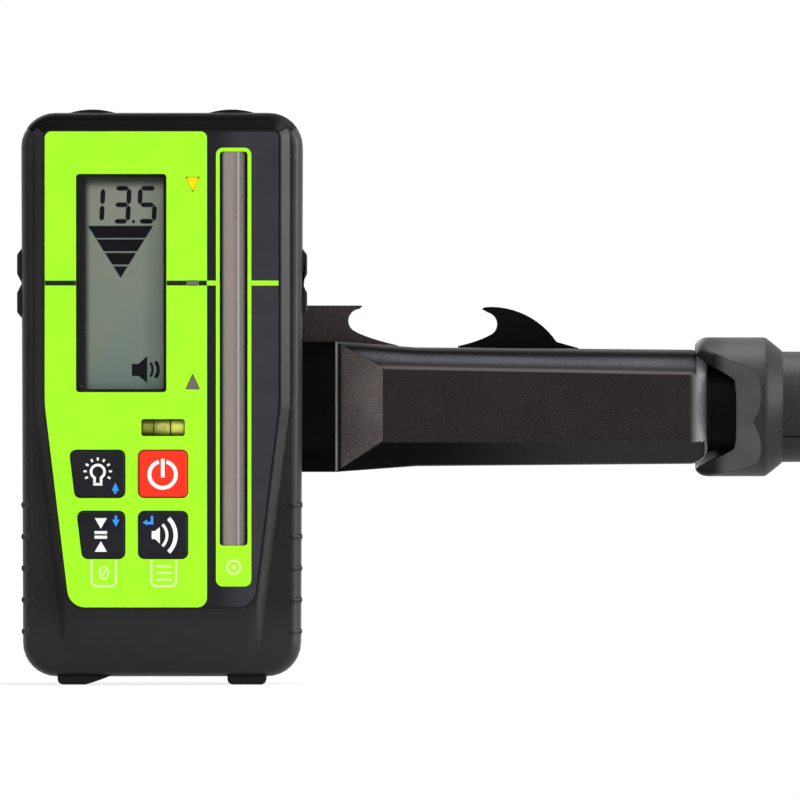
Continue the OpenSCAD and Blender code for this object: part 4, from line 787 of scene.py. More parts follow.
def key_cap(left, row):
    """The key's outline at a list of insets and depths, then shrunk to its middle along a shallow dish."""
    bend = np.radians(np.linspace(0, 90, 7))
    side = [(-FLANGE, -11.1), (-FLANGE, FLANGE_Y), (-0.02, FLANGE_Y)]
    side += [(0.55 * (1 - np.cos(a)), KEY_TOP + 0.5 - 0.5 * np.sin(a)) for a in bend]
    stack = stacked(lambda d: key_outline(d, left, row), side)
    rim = stack[-1]
    middle = rim.mean(0)
    for share in DISH_STEPS:
        inner = middle + share * (rim - middle)
        inner[:, 1] = KEY_TOP + KEY_DISH * (1 - share ** 2)
        stack.append(inner)
    return net(np.stack(stack))


def key_slot(key):
    """The power key is red, the others are dark."""
    return "red_key" if key == "power_key" else "dark_key"


SKINS = {"red_key": red_key_skin, "dark_key": dark_key_skin}
for key, (left, row) in KEYS.items():
    piece(key + "_cap", [key_cap(left, row)], SKINS[key_slot(key)], [key], key)
print("keys:", ", ".join(KEYS))

# %% [markdown]
# ## Inks as thin raised prints
#
# A print could be painted into the material, but a symbol of real ink stays sharp at any size and goes out
# with the model. Every symbol is a strip: two rows of points along a line or across a filled shape. A strip
# gets a few hundredths of a millimetre of thickness and becomes a closed slab.

# %% Strips
def slab(strip, front, back):
    """A strip of left and right points in X and Z, given a front and a back."""
    flat = np.asarray(strip, float)
    order = [(0, front), (1, front), (1, back), (0, back)]
    return net(np.stack([at_depth(flat[:, side], y) for side, y in order], 1))


def line(path, width):
    """A line of one width: every point moves to both sides along the path's normal."""
    path = np.asarray(path, float)
    step = np.gradient(path, axis=0)
    normal = step @ QUARTER_TURN / np.linalg.norm(step, axis=1)[:, None]
    return np.stack([path - normal * width / 2, path + normal * width / 2], 1)


def arc(x, z, rx, rz, start, end, count=40):
    """Points of an ellipse about a middle, from one angle to another in degrees."""
    a = np.radians(np.linspace(start, end, count))
    return np.stack([x + rx * np.cos(a), z + rz * np.sin(a)], 1)


def posts(*rows):
    """A filled shape between upright edges, each with its X, low end and high end."""
    return [[[x, low], [x, high]] for x, low, high in rows]


def bar(x0, z0, x1, z1):
    """A filled rectangle."""
    return posts((x0, z0, z1), (x1, z0, z1))


def wedge(x0, x1, z_base, x_tip, z_tip):
    """A filled triangle from a level base to a tip."""
    return [[[x0, z_base], [x1, z_base]], [[x_tip - 0.02, z_tip], [x_tip + 0.02, z_tip]]]


def disc(x, z, r):
    """A filled circle, as level chords."""
    a = np.radians(np.linspace(-88, 88, 24))
    return np.stack([np.stack([x - r * np.cos(a), z + r * np.sin(a)], 1),
                     np.stack([x + r * np.cos(a), z + r * np.sin(a)], 1)], 1)


def print_on(name, strips, ink, front=FACE_Y - 0.02, back=FACE_Y + 0.05, body="receiver"):
    """One piece from many strips at one depth, which is the label's if no other is given."""
    piece(name, [slab(strip, front, back) for strip in strips], ink, body=body)


print("strips can be printed")

# %% [markdown]
# ## Symbols on the keys
#
# The keys show a lamp, a power sign, a centring sign and a loudspeaker in white, and small blue arrows for
# the menu. They ride with their keys, so they go in when a key is pressed.

# %% Key symbols
ICON_Y, ICON_BACK, LAMP_AT = -15.585, -15.48, [-18.78, 62.7]
RAY = np.array([[0, 3.27], [0, 4.2]])
RAY_TURNS = np.radians([0, 28, 57, 88, 118, -28, -57, -88, -118])
neck = np.array([[-0.98, -3.55], [-0.98, -2.4]])
bulb = np.concatenate([neck, arc(0, 0, 1.98, 1.98, 242, -62, 48), neck[::-1] * [-1, 1]]) + LAMP_AT
rays = [line(RAY @ [[np.cos(a), -np.sin(a)], [np.sin(a), np.cos(a)]] + LAMP_AT, 0.6) for a in RAY_TURNS]
lamp = [line(bulb, 0.78), bar(-20.15, 58.65, -17.41, 59.4)] + rays
power = [line(arc(0.29, 61.88, 3.9, 3.9, 107, 433, 72), 1.13), bar(-0.2, 61.06, 0.86, 66.5)]
centre = [wedge(-19.68, -16.1, 49.06, -17.89, 45.96), bar(-19.75, 44.4, -16.05, 45.26),
          bar(-19.75, 43.0, -16.05, 43.9), wedge(-19.68, -16.1, 39.16, -17.89, 42.23)]
horn = posts((-2.93, 42.93, 45.26), (-1.96, 42.93, 45.26), (-0.53, 41.57, 46.42))
waves = [line(arc(-2.93, 44.01, r, r, -45, 45), w) for r, w in ((4.5, 0.85), (7.03, 1.24))]
up = [wedge(-14.69, -12.55, 57.1, -13.62, 59.51), bar(-14.0, 56.25, -13.25, 57.1)]
down = [bar(-13.84, 48.63, -13.09, 49.8), wedge(-14.55, -12.37, 48.63, -13.46, 46.54)]
enter = [bar(-3.21, 47.2, -2.47, 49.72), bar(-4.29, 47.2, -3.21, 47.97),
         posts((-4.29, 46.93, 48.67), (-5.58, 47.76, 47.8))]
SYMBOLS = [
    ("light_key", "_lamp", white_ink, lamp), ("power_key", "_sign", white_ink, power),
    ("zero_key", "_sign", white_ink, centre), ("sound_key", "_sign", white_ink, [horn] + waves),
    ("light_key", "_arrow", blue_ink, up), ("zero_key", "_arrow", blue_ink, down),
    ("sound_key", "_arrow", blue_ink, enter),
]
for key, ending, ink, strips in SYMBOLS:
    print_on(key + ending, strips, ink, ICON_Y, ICON_BACK, key)
print(len(SYMBOLS), "symbols on", len(KEYS), "keys")

# %% [markdown]
# ## Marks on the films
#
# The on-grade line crosses the whole face: black on the lime label, lime on the dark overlay. Under the
# lower keys stand two pale pockets with signs, and the tab under the sensor slot carries a plain target
# ring. Each lies on the film that carries it.

# %% Film marks
GRADE_HALF, POCKET_LOW, POCKET_HIGH, POCKET_R, TARGET_Z = 0.72, 29.05, 36.6, 1.5, 34.6


def grade_bars(*ends):
    """Stretches of the on-grade line."""
    return [bar(a, GRADE_Z - GRADE_HALF, b, GRADE_Z + GRADE_HALF) for a, b in ends]


def pocket(x0, x1, low=POCKET_LOW, high=POCKET_HIGH, r=POCKET_R):
    """An open U: down the left side, round two corners, and up the right side."""
    path = [[[x0, high], [x0, (high + low) / 2]], arc(x0 + r, low + r, r, r, 180, 270, 10),
            arc(x1 - r, low + r, r, r, 270, 360, 10), [[x1, (high + low) / 2], [x1, high]]]
    return line(np.concatenate(path), 0.6)


print_on("grade_line_label", grade_bars((-34.35, -25.25), (1.5, 7.35), (10.88, 13.29)), black_ink)
print_on("grade_line_overlay", grade_bars((13.33, 16.0), (26.33, 34.35)), label_film,
         front=OVERLAY_Y - 0.03, back=OVERLAY_Y + 0.05)
signs = [pocket(-20.6, -13.45), pocket(-3.05, 4.25)]
signs += [line(arc(-17.0, 32.94, 1.2, 1.8, 0, 360, 41), 0.5), line([[-17.7, 31.8], [-16.3, 34.1]], 0.45)]
signs += [bar(-1.65, z - 0.28, 2.78, z + 0.28) for z in (34.88, 32.94, 30.96)]
print_on("pocket_signs", signs, pale_ink)
target = [line(arc(SLOT_X, TARGET_Z, 1.9, 1.9, 0, 360, 49), 0.55), disc(SLOT_X, TARGET_Z, 0.6)]
print_on("tab_target", target, pale_ink)
print("grade line, two pockets and a target are printed")

# %% [markdown]
# ## What the display shows
#
# Behind its window the liquid crystal panel shows a reading, a large arrow built of four bands that says
# the beam is below, and a loudspeaker. The segments are strips with pointed ends, as on a real display,
# and the figures lean a little.

# %% Display
FIGURE_LOW, FIGURE_H, FIGURE_LEAN, SEGMENT_W, SEGMENT_GAP = 136.4, 9.7, 0.05, 1.4, 0.12
SEGMENTS = {"a": ((0, 2), (1, 2)), "b": ((1, 2), (1, 1)), "c": ((1, 1), (1, 0)),
            "d": ((0, 0), (1, 0)), "f": ((0, 1), (0, 2)), "g": ((0, 1), (1, 1))}
TIP_Z, BASE_Z, BASE_HALF, ARROW_X, DISPLAY_Y = 119.75, 135.05, 9.6, -12.15, -11.3


def segment(a, b, width=SEGMENT_W):
    """A bar from a to b whose ends narrow to points."""
    length = np.linalg.norm(b - a)
    along = (b - a) / length
    half = np.array([0.02, width / 2, width / 2, 0.02])[:, None] * (along @ QUARTER_TURN)
    spine = a + np.outer([0, width / 2, length - width / 2, length], along)
    return np.stack([spine - half, spine + half], 1)


def figure(x, w, lit):
    """A seven-segment figure: the lit segments between its six corners, leaning to the right."""
    strips = []
    for name in lit:
        p, q = (np.array([x + i * w + FIGURE_LEAN * (k - 1) * FIGURE_H / 2, FIGURE_LOW + k * FIGURE_H / 2])
                for i, k in SEGMENTS[name])
        trim = SEGMENT_GAP * (q - p) / np.linalg.norm(q - p)
        strips.append(segment(p + trim, q - trim))
    return strips


def chord(z):
    """The arrow's two edges at a height."""
    half = max(BASE_HALF * (z - TIP_Z) / (BASE_Z - TIP_Z), 0.02)
    return [[ARROW_X - half, z], [ARROW_X + half, z]]


reading = figure(-21.6, 4.1, "bc") + figure(-13.9, 4.1, "abcdg") + figure(-6.5, 4.4, "afgcd")
reading.append(disc(-8.35, 136.3, 0.5))
for high, low in ((BASE_Z, 131.45), (131.09, 127.55), (127.1, 123.65), (123.14, TIP_Z)):
    reading.append([chord(high), chord(low)])
reading.append(posts((-8.83, 90.88, 94.42), (-6.82, 90.88, 94.42), (-4.3, 88.78, 96.82)))
reading += [line(arc(-6.34, 92.74, 3.6, 3.6, -34, 34), 0.75), line(arc(-4.75, 92.74, 3.7, 3.7, -40, 40), 1.0)]
print_on("display_segments", reading, display_ink, DISPLAY_Y - 0.03, DISPLAY_Y + 0.05)
print("display: four bands, three figures and a loudspeaker")

# %% [markdown]
# ## The display's panel and window
#
# The panel is grey-green, darker where the frame shades it on the left and along the top, and the window in
# front of it is clear. The shade could come from lamps, but a soft mask along two axes puts it where it
# belongs.

# %% Panel and window finishes
m = new_finish("display_panel", specular_ior_level=0.3, roughness=0.35)
place = axes_of(m)
left_edge, top_edge = row_at("X", LCD_X - LCD_W / 2 + 0.8), row_at("Z", GRADE_Z + LCD_H / 2 - 0.8)
rise = span(m, place["Z"], top_edge - 0.062, top_edge)
field = layered(m, mixed(m, rise, (118, 138, 128), (150, 158, 142)),
                (span(m, noise(m, 16.0), 0.4, 0.75, 0.0, 0.5), (150, 146, 128)))
lit = sums(m, "MULTIPLY", span(m, place["X"], left_edge + 0.0014, left_edge + 0.0036, soft=True),
           span(m, place["Z"], top_edge - 0.0006, top_edge - 0.004, 0.1, 1.0, soft=True))
field = layered(m, mixed(m, lit, (8, 9, 7), field), (dust(m, 3.4, 0.05, 0.55), (215, 218, 205)))
display_field = plug(m, base_color=field)
clear_window = new_finish("clear_window", alpha=0.1, roughness=0.06, specular_ior_level=0.1,
                          base_color=tone(20, 22, 20))
print("display finishes:", display_field.name, clear_window.name)

# %% [markdown]
# ## The sensor window
#
# The long slot holds a bar of smoked plastic, behind which the photodiodes sit. A cylinder would nearly do,
# but the real bar is a shallow crown between two dark edges, so a profile across the slot is carried along
# it. Its tint is darker at both edges, and a thin pale line right of the middle is a painted highlight.

# %% Sensor window
CROWN, HALF_BAR, BAR_BACK, BAR_STATIONS = 1.0, 4.0, INNER_Y + 0.9, 24


def off(m, value, middle):
    """How far a value lies from a middle, to either side."""
    return sums(m, "ABSOLUTE", sums(m, "SUBTRACT", value, middle), 0.0)


across = np.linspace(-1, 1, 25)
bulge = np.sqrt(np.clip(1 - (0.86 * across) ** 2, 0, 1))
bulge = (bulge - bulge.min()) / (bulge.max() - bulge.min())
profile = np.stack([SLOT_X + HALF_BAR * across, OVERLAY_Y + CROWN * (1 - bulge)], 1)
profile = np.concatenate([profile, [[SLOT_X + HALF_BAR, BAR_BACK], [SLOT_X - HALF_BAR, BAR_BACK]]])
heights = np.linspace(SLOT_LOW + 0.1, SLOT_HIGH - 0.1, BAR_STATIONS)
grid = np.stack([np.insert(profile, 2, z, axis=1) for z in heights])
m = new_finish("smoked_lens", specular_ior_level=0.25, coat_weight=0.25, coat_roughness=0.12)
x, row = axes_of(m)["X"], row_at("X", SLOT_X)
tint = mixed(m, span(m, x, row - 0.001, row + 0.0016, soft=True), (132, 119, 113), (92, 89, 87))
tint = layered(m, tint, (span(m, noise(m, 0.35), 0.35, 0.65, 0.0, 0.3), (158, 146, 139)),
               # A thin pale line a little right of the middle is a painted highlight.
               (span(m, off(m, x, row + 0.0014), 0.0005, 0.00005, 0.0, 0.7, soft=True), (176, 168, 160)),
               (span(m, off(m, x, row), 0.0023, 0.0036, soft=True), (30, 27, 28)))
plug(m, base_color=tint, normal=bump(m, noise(m, 0.4), 0.02, 0.3),
     roughness=span(m, noise(m, 0.7), to_low=0.28, to_high=0.42))
piece("sensor_bar", [net(grid)], m, ["sensor_lens"])
print("sensor bar:", grid.shape[0], "stations of", grid.shape[1], "points")

# %% [markdown]
# ## Arrow lights
#
# Three light pipes end flush with the label: an arrow for high, an arrow for low and a bar for on grade.
# Each is an outline pushed through the label with a small round at its rim. The lit one glows round its
# middle and stays dark in its corners, as light from a small chip does.

# %% Arrow lights
LED_X, LED_W, LED_H, LED_SPREAD = 9.11, 4.0, 4.32, 29.0
GRADE_W, GRADE_H, PIPE_R = 1.6, 0.7, 0.3
PIPE_STEPS = [(0.0, -9.5), (0.0, -14.85), (0.06, -14.96), (0.2, FACE_Y)]


def pipe(corners):
    """An outline carried from the chip to the label, with a rounded rim at its front."""
    return net(np.stack(stacked(lambda d: outline(corners, [PIPE_R] * len(corners), d), PIPE_STEPS)))


def arrow_corners(z, way):
    """A triangle about a height that points up or down."""
    base, tip = z - way * LED_H / 2, z + way * LED_H / 2
    flat = [[LED_X - LED_W / 2, base], [LED_X + LED_W / 2, base], [LED_X, tip]]
    return flat if way > 0 else flat[::-1]


def far_from(m, spot, vector=None):
    """The distance of the Object coordinates, or of another vector, from a spot."""
    return node(m, "VectorMath", {0: vector or coords(m), 1: spot}, operation="DISTANCE").outputs["Value"]


def speckled(name, size_mm, low, high, detail=2.0, **plain):
    """A simple finish whose colour wanders between two."""
    m = new_finish(name, **plain)
    return plug(m, base_color=mixed(m, noise(m, size_mm, detail), low, high))


high, low = GRADE_Z + LED_SPREAD, GRADE_Z - LED_SPREAD
lit_pipe = new_finish("lit_light_pipe", roughness=0.35, specular_ior_level=0.15, emission_strength=0.72)
far = far_from(lit_pipe, metres([LED_X, FACE_Y, high + 0.2]).tolist())
glow = span(lit_pipe, far, 0.0021, 0.0026, soft=True)
hue = mixed(lit_pipe, span(lit_pipe, far, 0.0, 0.0015), (150, 132, 4), (140, 104, 2))
plug(lit_pipe, base_color=mixed(lit_pipe, glow, hue, (58, 44, 6)),
     emission_color=mixed(lit_pipe, glow, (255, 232, 0), (0, 0, 0)))
dark_pipe = speckled("dark_light_pipe", 2.0, (78, 74, 70), (112, 104, 102), roughness=0.4)
grade_bar = [[LED_X + a * GRADE_W, GRADE_Z + b * GRADE_H] for a, b in ((-1, -1), (1, -1), (1, 1), (-1, 1))]
piece("lit_arrow", [pipe(arrow_corners(high, -1))], lit_pipe, ["indicator_lenses"])
piece("dark_lights", [pipe(arrow_corners(low, 1)), pipe(grade_bar)], dark_pipe,
      ["indicator_lenses"])
print("lights at", high, GRADE_Z, "and", low, "mm")

# %% [markdown]
# ## The level vial
#
# A small vial shows when the receiver stands upright: a clear tube with yellow-green fluid, two black lines
# and a bubble between them. All four are turned shapes about one axis. The bubble is an ellipsoid against
# the tube's front, so the tube is made clear and the fluid is solid.

# %% Level vial
VIAL, ALONG_X = np.array([0.41, -11.4, 75.69]), (1, 0, 0)
TUBE, CORE = (6.8, 2.88, 0.5), (6.4, 2.35, 0.6)
LINES_X, LINE_HALF, LINE_IN, LINE_OUT = (-2.75, 2.2), 0.2, 2.4, 2.62
BUBBLE_AT, BUBBLE_LEN, BUBBLE_FORM = [-0.25, -1.85, 0.2], 1.7, [1, 0.75, 1.5]


def rounded_rod(half, r, round_r):
    """Half-length, radius and end rounding as a profile of distances and radii."""
    bend = np.radians(np.linspace(0, 90, 6))
    left = np.stack([-half + round_r * (1 - np.sin(bend)), r - round_r * (1 - np.cos(bend))], 1)[::-1]
    return np.concatenate([[[-half, 0.3]], left, (left * [-1, 1])[::-1], [[half, 0.3]]])


def vial_net(profile, ring=False):
    """A profile turned about the vial's axis."""
    return net(circle_grid(profile, VIAL, ALONG_X), ring)


vial_fluid = new_finish("vial_fluid", roughness=0.25, specular_ior_level=0.5)
row = row_at("X", VIAL[0])
share = span(vial_fluid, axes_of(vial_fluid)["X"], row - 0.003, row + 0.004)
plug(vial_fluid, base_color=mixed(vial_fluid, share, (116, 122, 8), (230, 238, 90)))
clear_tube = new_finish("clear_tube", alpha=0.1, roughness=0.05, specular_ior_level=0.3,
                        base_color=tone(180, 186, 80))
bubble_skin = speckled("vial_bubble", 1.0, (124, 128, 40), (216, 214, 120), 3.0,
                       roughness=0.12, specular_ior_level=0.6)
piece("vial_core", [vial_net(rounded_rod(*CORE))], vial_fluid, ["level_vial"])
piece("vial_tube", [vial_net(rounded_rod(*TUBE))], clear_tube, ["level_vial"])
hoop = np.array([[-LINE_HALF, LINE_IN], [-LINE_HALF, LINE_OUT], [LINE_HALF, LINE_OUT], [LINE_HALF, LINE_IN]])
hoops = [vial_net(hoop + [x, 0], ring=True) for x in LINES_X]
piece("vial_lines", hoops, black_ink)
lat = np.radians(np.linspace(-88, 88, 18))
oval = circle_grid(np.stack([BUBBLE_LEN * np.sin(lat), np.cos(lat)], 1), [0, 0, 0], ALONG_X, 32) * BUBBLE_FORM
piece("vial_bubble", [net(oval + VIAL + BUBBLE_AT)], bubble_skin)
print("vial at", VIAL)

# %% [markdown]
# ## The clamp knob
#
# The knob is turned, with a skirt over the arm's end and a pair of finger hollows at the front. Cutting
# hollows out would leave hard edges, so the profile itself changes with the angle: at a hollow the skirt's
# rim draws back along a curve with two lobes, and the band between its edges widens into a soft slope. A
# fine seam runs along the barrel.

# %% Knob
KNOB_X, AROUND = 157.6, 320
SKIRT_R, BARREL_R, CUP_R, HUB_R, RIM_R = 20.58, 16.28, 14.5, 13.1, 18.5
HUB_X, CUP_X, RIM_X, BARREL_X, KNOB_LEN = 4.66, 12.55, 5.4, 25.1, 44.7
HOLLOW_TURN, LOBE_X, LOBE_DIP, LOBE_FALL = -13.0, 19.3, 2.3, 1.2
SEAM, SEAM_DEPTH, SEAM_START, SEAM_END = -33.0, 0.35, 25.4, 43
angle = np.linspace(-np.pi, np.pi, AROUND, endpoint=False)
off_front = np.abs((np.degrees(angle) - HOLLOW_TURN + 180) % 360 - 180)


def eased(value, low, high):
    """0 below low, 1 above high, and a smooth curve between."""
    t = np.clip((value - low) / (high - low), 0, 1)
    return t * t * (3 - 2 * t)


def rows_between(a, b, count, bow=0.0):
    """Rows of distance and radius for every angle, from a to b; bow pushes the middle out."""
    t = np.linspace(0, 1, count)[:, None]
    lift = bow * np.sin(np.pi * t)
    along, radius = (start + (end - start) * t + np.zeros(AROUND) for start, end in zip(a, b))
    return np.stack([along - 0.7 * lift, radius + 0.7 * lift], -1)


def round_axis(along, radius, turns):
    """Distances and radii about the clamp's axis as points, with the first angle at the front."""
    along = np.broadcast_to(along, radius.shape)
    return np.stack([along, AXIS_Y - radius * np.cos(turns), AXIS_Z + radius * np.sin(turns)], -1)


hollow_out, hollow_in = 1 - eased(off_front, 40, 66), 1 - eased(off_front, 44, 70)
lobes = LOBE_X - LOBE_DIP * np.exp(-((off_front / 9.5) ** 1.5)) - LOBE_FALL * eased(off_front, 26, 46)
x_out = RIM_X + (lobes - RIM_X) * hollow_out
x_in = (11.9 - 0.5 * eased(off_front, 20, 50)) * hollow_in
r_in = RIM_R + (CUP_R - RIM_R) * hollow_in
x_mid = 12.4 + (x_in - 12.4) * 0.5
rows = [rows_between(*row) for row in (
    ((HUB_X, 3.6), (HUB_X, HUB_R - 0.4), 4),
    ((4.8, HUB_R), (12.0, HUB_R), 4),
    ((CUP_X, HUB_R + 0.3), (CUP_X, CUP_R - 0.3), 3),
    ((np.minimum(12.3, x_mid + 4), CUP_R), (x_mid, CUP_R + 0.15 * (r_in - CUP_R)), 4),
    ((x_mid - 0.3, CUP_R + 0.2 * (r_in - CUP_R)), (x_in, r_in), 7),
    ((x_in + 0.1, r_in + 0.35), (x_out, SKIRT_R), 14, 0.9 * (1 - hollow_out) - 0.25 * hollow_out),
    ((x_out + 0.5, SKIRT_R), (20.2, SKIRT_R), 8),
    ((20.9, SKIRT_R - 0.2), (BARREL_X, BARREL_R + 0.75), 7, 0.35),
    ((25.7, BARREL_R + 0.1), (42.6, BARREL_R), 14),
    ((43.4, BARREL_R - 0.25), (KNOB_LEN, BARREL_R - 1.9), 5, 0.3),
    ((KNOB_LEN, BARREL_R - 3), (KNOB_LEN, 0.3), 4),
)]
along, radius = np.moveaxis(np.concatenate(rows), -1, 0)
groove = SEAM_DEPTH * np.exp(-(((np.degrees(angle) - SEAM) / 0.9) ** 2))
radius = radius - np.where((along > SEAM_START) & (along < SEAM_END), groove, 0)
knob_grid = round_axis(KNOB_X + along, radius, angle)
print("knob:", knob_grid.shape[0], "rows of", knob_grid.shape[1], "points")

# %% [markdown]
# ## The knob's finish
#
# The hollow's slope gets painted light, a paler grey, and the rim beside the arm gets painted shade. The
# slope lies deeper than the skirt, so its mask is a distance from the clamp's axis. Inside the cup and along
# the seam the faces get the black of painted shade, and the grid's rows and columns say which ones those are.

# %% Knob finish
SLOPE_END, RIM_FADE = 20, (10, 5)
m = copied(knob_plastic, "knob_painted_light_and_shade")
place = axes_of(m)
flat = node(m, "CombineXYZ", {"Y": place["Y"], "Z": place["Z"]}).outputs[0]
from_axis = far_from(m, (0.0, row_at("Y", AXIS_Y), row_at("Z", AXIS_Z)), flat)
skirt_end = row_at("X", KNOB_X + SLOPE_END)
# Painted light: the hollow's deep slope turns a paler grey.
overlaid(m, sums(m, "MULTIPLY", span(m, from_axis, 0.0206, 0.0203),
                 span(m, place["X"], skirt_end, skirt_end - 0.001)), (76, 76, 75))
# Painted shade: the rim beside the arm fades to black.
fade_along(m, "X", *(KNOB_X + x for x in RIM_FADE), (9, 9, 9))
knob = piece("grip_knob", [net(knob_grid)], m, ["clamp_knob"], "clamp_knob", 40).data
row, column = np.divmod(np.arange(len(knob.polygons)), AROUND)
start = along[np.minimum(row, len(along) - 1), 0]
inside = row < sum(len(part) for part in rows[:3])
seam = np.abs(np.degrees(angle)[column] + 180 / AROUND - SEAM) < 1.0
# The cup's inside and the seam groove get the painted-shade black.
give_faces(knob, (painted_shade_plastic, inside | seam & (start > SEAM_START) & (start < SEAM_END)))
print("knob:", inside.sum(), "faces inside are black")

# %% [markdown]
# ## The spindle
#
# The spindle in the arm has a coarse thread. A thread is a radius that rises and falls along the axis and
# shifts with the angle, so it is one formula on one grid. At both ends the thread fades into the shank.

# %% Thread
PITCH, THREAD_R, THREAD_DEPTH, RUN_OUT = 4.0, 3.88, 0.7, 2.0
THREAD_START, THREAD_END, THREAD_STEP = 62.4, 150.7, 0.25
ROD_START = [[54.6, 0.2], [54.6, 2.6], [55.0, 2.98], [62.3, 2.98]]
ROD_END = [[150.8, 3.38], [184.6, 3.38], [185.0, 3.0]]
stations = np.arange(THREAD_START, THREAD_END, THREAD_STEP)
turns = np.linspace(0, 2 * np.pi, 36, endpoint=False)


def plain_rings(steps):
    """Rows of distance and radius that are the same at every angle."""
    along, radius = np.asarray(steps, float).T
    return along, np.outer(radius, np.ones(len(turns)))


phase = (stations[:, None] / PITCH - turns[None, :] / (2 * np.pi)) % 1
tooth = np.clip(1.7 - 4.4 * np.abs(phase - 0.5), 0, 1)
fade = np.minimum(eased(stations, THREAD_START, THREAD_START + RUN_OUT),
                  1 - eased(stations, THREAD_END - RUN_OUT, THREAD_END))[:, None]
thread = THREAD_R - THREAD_DEPTH + THREAD_DEPTH * tooth * fade
lengths, radii = zip(plain_rings(ROD_START), (stations, thread), plain_rings(ROD_END))
grid = round_axis(np.concatenate(lengths)[:, None], np.concatenate(radii), turns)
piece("threaded_spindle", [net(grid)], steel, ["spindle"], "clamp_knob", 40)
print("thread of", len(stations), "stations")

# %% [markdown]
# ## The thumb screw
#
# The thumb screw that holds the bracket to the case has eight flutes. Its radius is the smaller of the
# head's circle and the flutes' circles, drawn in a little at the head's two rims.

# %% Flutes
HEAD_R, HEAD_LOW, HEAD_HIGH, FLUTE_FAR, FLUTE_R = 10.95, 26.2, 36.15, 13.2, 3.96
SHANK = [[8.2, 0.2], [8.2, 2.6], [8.7, 3.05], [HEAD_LOW, 3.05]]
HUB = [[HEAD_HIGH - 0.6, 3.6], [HEAD_HIGH - 0.6, 0.3]]
HEAD = np.array([[HEAD_LOW, -4.0], [HEAD_LOW, -0.9], [HEAD_LOW + 0.5, -0.2], [HEAD_LOW + 1.2, 0.0],
                 [HEAD_HIGH - 1.6, 0.0], [HEAD_HIGH - 0.7, -0.3], [HEAD_HIGH - 0.1, -1.0],
                 [HEAD_HIGH, -2.0], [HEAD_HIGH - 0.6, -3.2]])
turns = np.linspace(0, 2 * np.pi, 192, endpoint=False)
lean = (turns + np.pi / 8) % (np.pi / 4) - np.pi / 8
reach = np.sqrt(np.maximum(FLUTE_R ** 2 - (FLUTE_FAR * np.sin(lean)) ** 2, 0))
in_flute = np.abs(FLUTE_FAR * np.sin(lean)) < FLUTE_R
fluted = np.minimum(HEAD_R, np.where(in_flute, FLUTE_FAR * np.cos(lean) - reach, HEAD_R))
depths, radii = zip(plain_rings(SHANK), (HEAD[:, 0], fluted + HEAD[:, 1:]), plain_rings(HUB))
radii = np.concatenate(radii)
depths = np.broadcast_to(np.concatenate(depths)[:, None], radii.shape)
grid = np.stack([radii * np.cos(turns), depths, AXIS_Z + radii * np.sin(turns)], -1)
piece("thumb_screw", [net(grid)], knob_plastic, ["bracket_screw"], "bracket_screw")
print("thumb screw:", grid.shape[0], "rings")

# %% [markdown]
# ## Cells
#
# Four cells lie behind the battery lid. Each is a turned can with a crimped shoulder and a nub, in a plain
# sleeve with a copper-coloured end. They alternate, so every second one is turned over by running its
# profile the other way.

# %% Battery cells
CELL_LEN, CELL_PITCH, CELLS, BAND_SHARE, UPWARDS = 50.5, 14.7, 4, 0.62, (0, 0, 1)
can = np.array([[0, 0.3], [0, 5.6], [0.3, 6.4], [0.9, 6.95], [1.4, 6.98], [47.6, 6.98], [48.3, 6.8],
                [48.8, 6.0], [49.0, 5.2], [49.1, 2.75], [49.3, 2.6], [50.2, 2.6], [50.5, 2.2], [50.5, 0.3]])
flipped = (can * [-1, 1] + [CELL_LEN, 0])[::-1]
cell_low, cell_high = (drawn(corner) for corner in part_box("battery_cells"))
cell_y, cell_z = (cell_low[1] + cell_high[1]) / 2, cell_low[2]
m = new_finish("cell_sleeve", metallic=0.6, specular_ior_level=0.5)
z, band = axes_of(m)["Z"], row_at("Z", cell_z + BAND_SHARE * CELL_LEN)
tips = off(m, z, row_at("Z", cell_z + CELL_LEN / 2))
sleeve = layered(m, mixed(m, span(m, z, band, band + 0.0003), (38, 40, 44), (186, 132, 84)),
                 (span(m, tips, 0.0238, 0.0239), (190, 192, 194)))
plug(m, base_color=sleeve, roughness=span(m, noise(m, 3.0, 3.0), to_low=0.25, to_high=0.4))
columns = (np.arange(CELLS) - (CELLS - 1) / 2) * CELL_PITCH
cells = [net(circle_grid(can if i % 2 else flipped, [x, cell_y, cell_z], UPWARDS))
         for i, x in enumerate(columns)]
piece("cells", cells, m, ["battery_cells"])
print("cells stand from", round(cell_z, 2), "to", round(cell_z + CELL_LEN, 2), "mm")

# %% [markdown]
# ## Nodes that keep their own shape
#
# Flat films, boards and small inner parts are right as they are and only need a finish. The circuit
# boards get a green solder mask with faint tracks, which are the edges between cells of a blocky noise.

# %% Finishes for the remaining nodes
green_board = new_finish("green_board", roughness=0.4)
tracks = node(green_board, "TexVoronoi", {"Vector": coords(green_board), "Scale": 420.0},
              distance="MANHATTAN", feature="DISTANCE_TO_EDGE").outputs["Distance"]
tracks = span(green_board, tracks, 0.02, 0.05)
plug(green_board, base_color=mixed(green_board, tracks, (46, 112, 66), (16, 66, 36)))
diode_glass = speckled("diode_glass", 2.0, (14, 12, 20), (30, 26, 40), roughness=0.2, specular_ior_level=0.5)
switch_body = speckled("switch_body", 1.5, (176, 176, 170), (206, 206, 198), roughness=0.45)
KEPT = {
    "case_gasket": rubber, "face_overlay": overlay_film, "keypad_label": label_film,
    "window_label": label_film, "display_lens": clear_window, "display_frame": inner_plastic,
    "display_panel": display_field, "sensor_board": green_board, "photodiodes": diode_glass,
    "main_board": green_board, "board_screws": steel, "key_switches": switch_body,
    "indicator_leds": switch_body, "battery_tray": inner_plastic,
}
for name, finish in KEPT.items():
    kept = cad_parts[name]
    kept.data.materials.clear()
    kept.data.materials.append(finish)
print("finished", len(KEPT), "kept nodes")

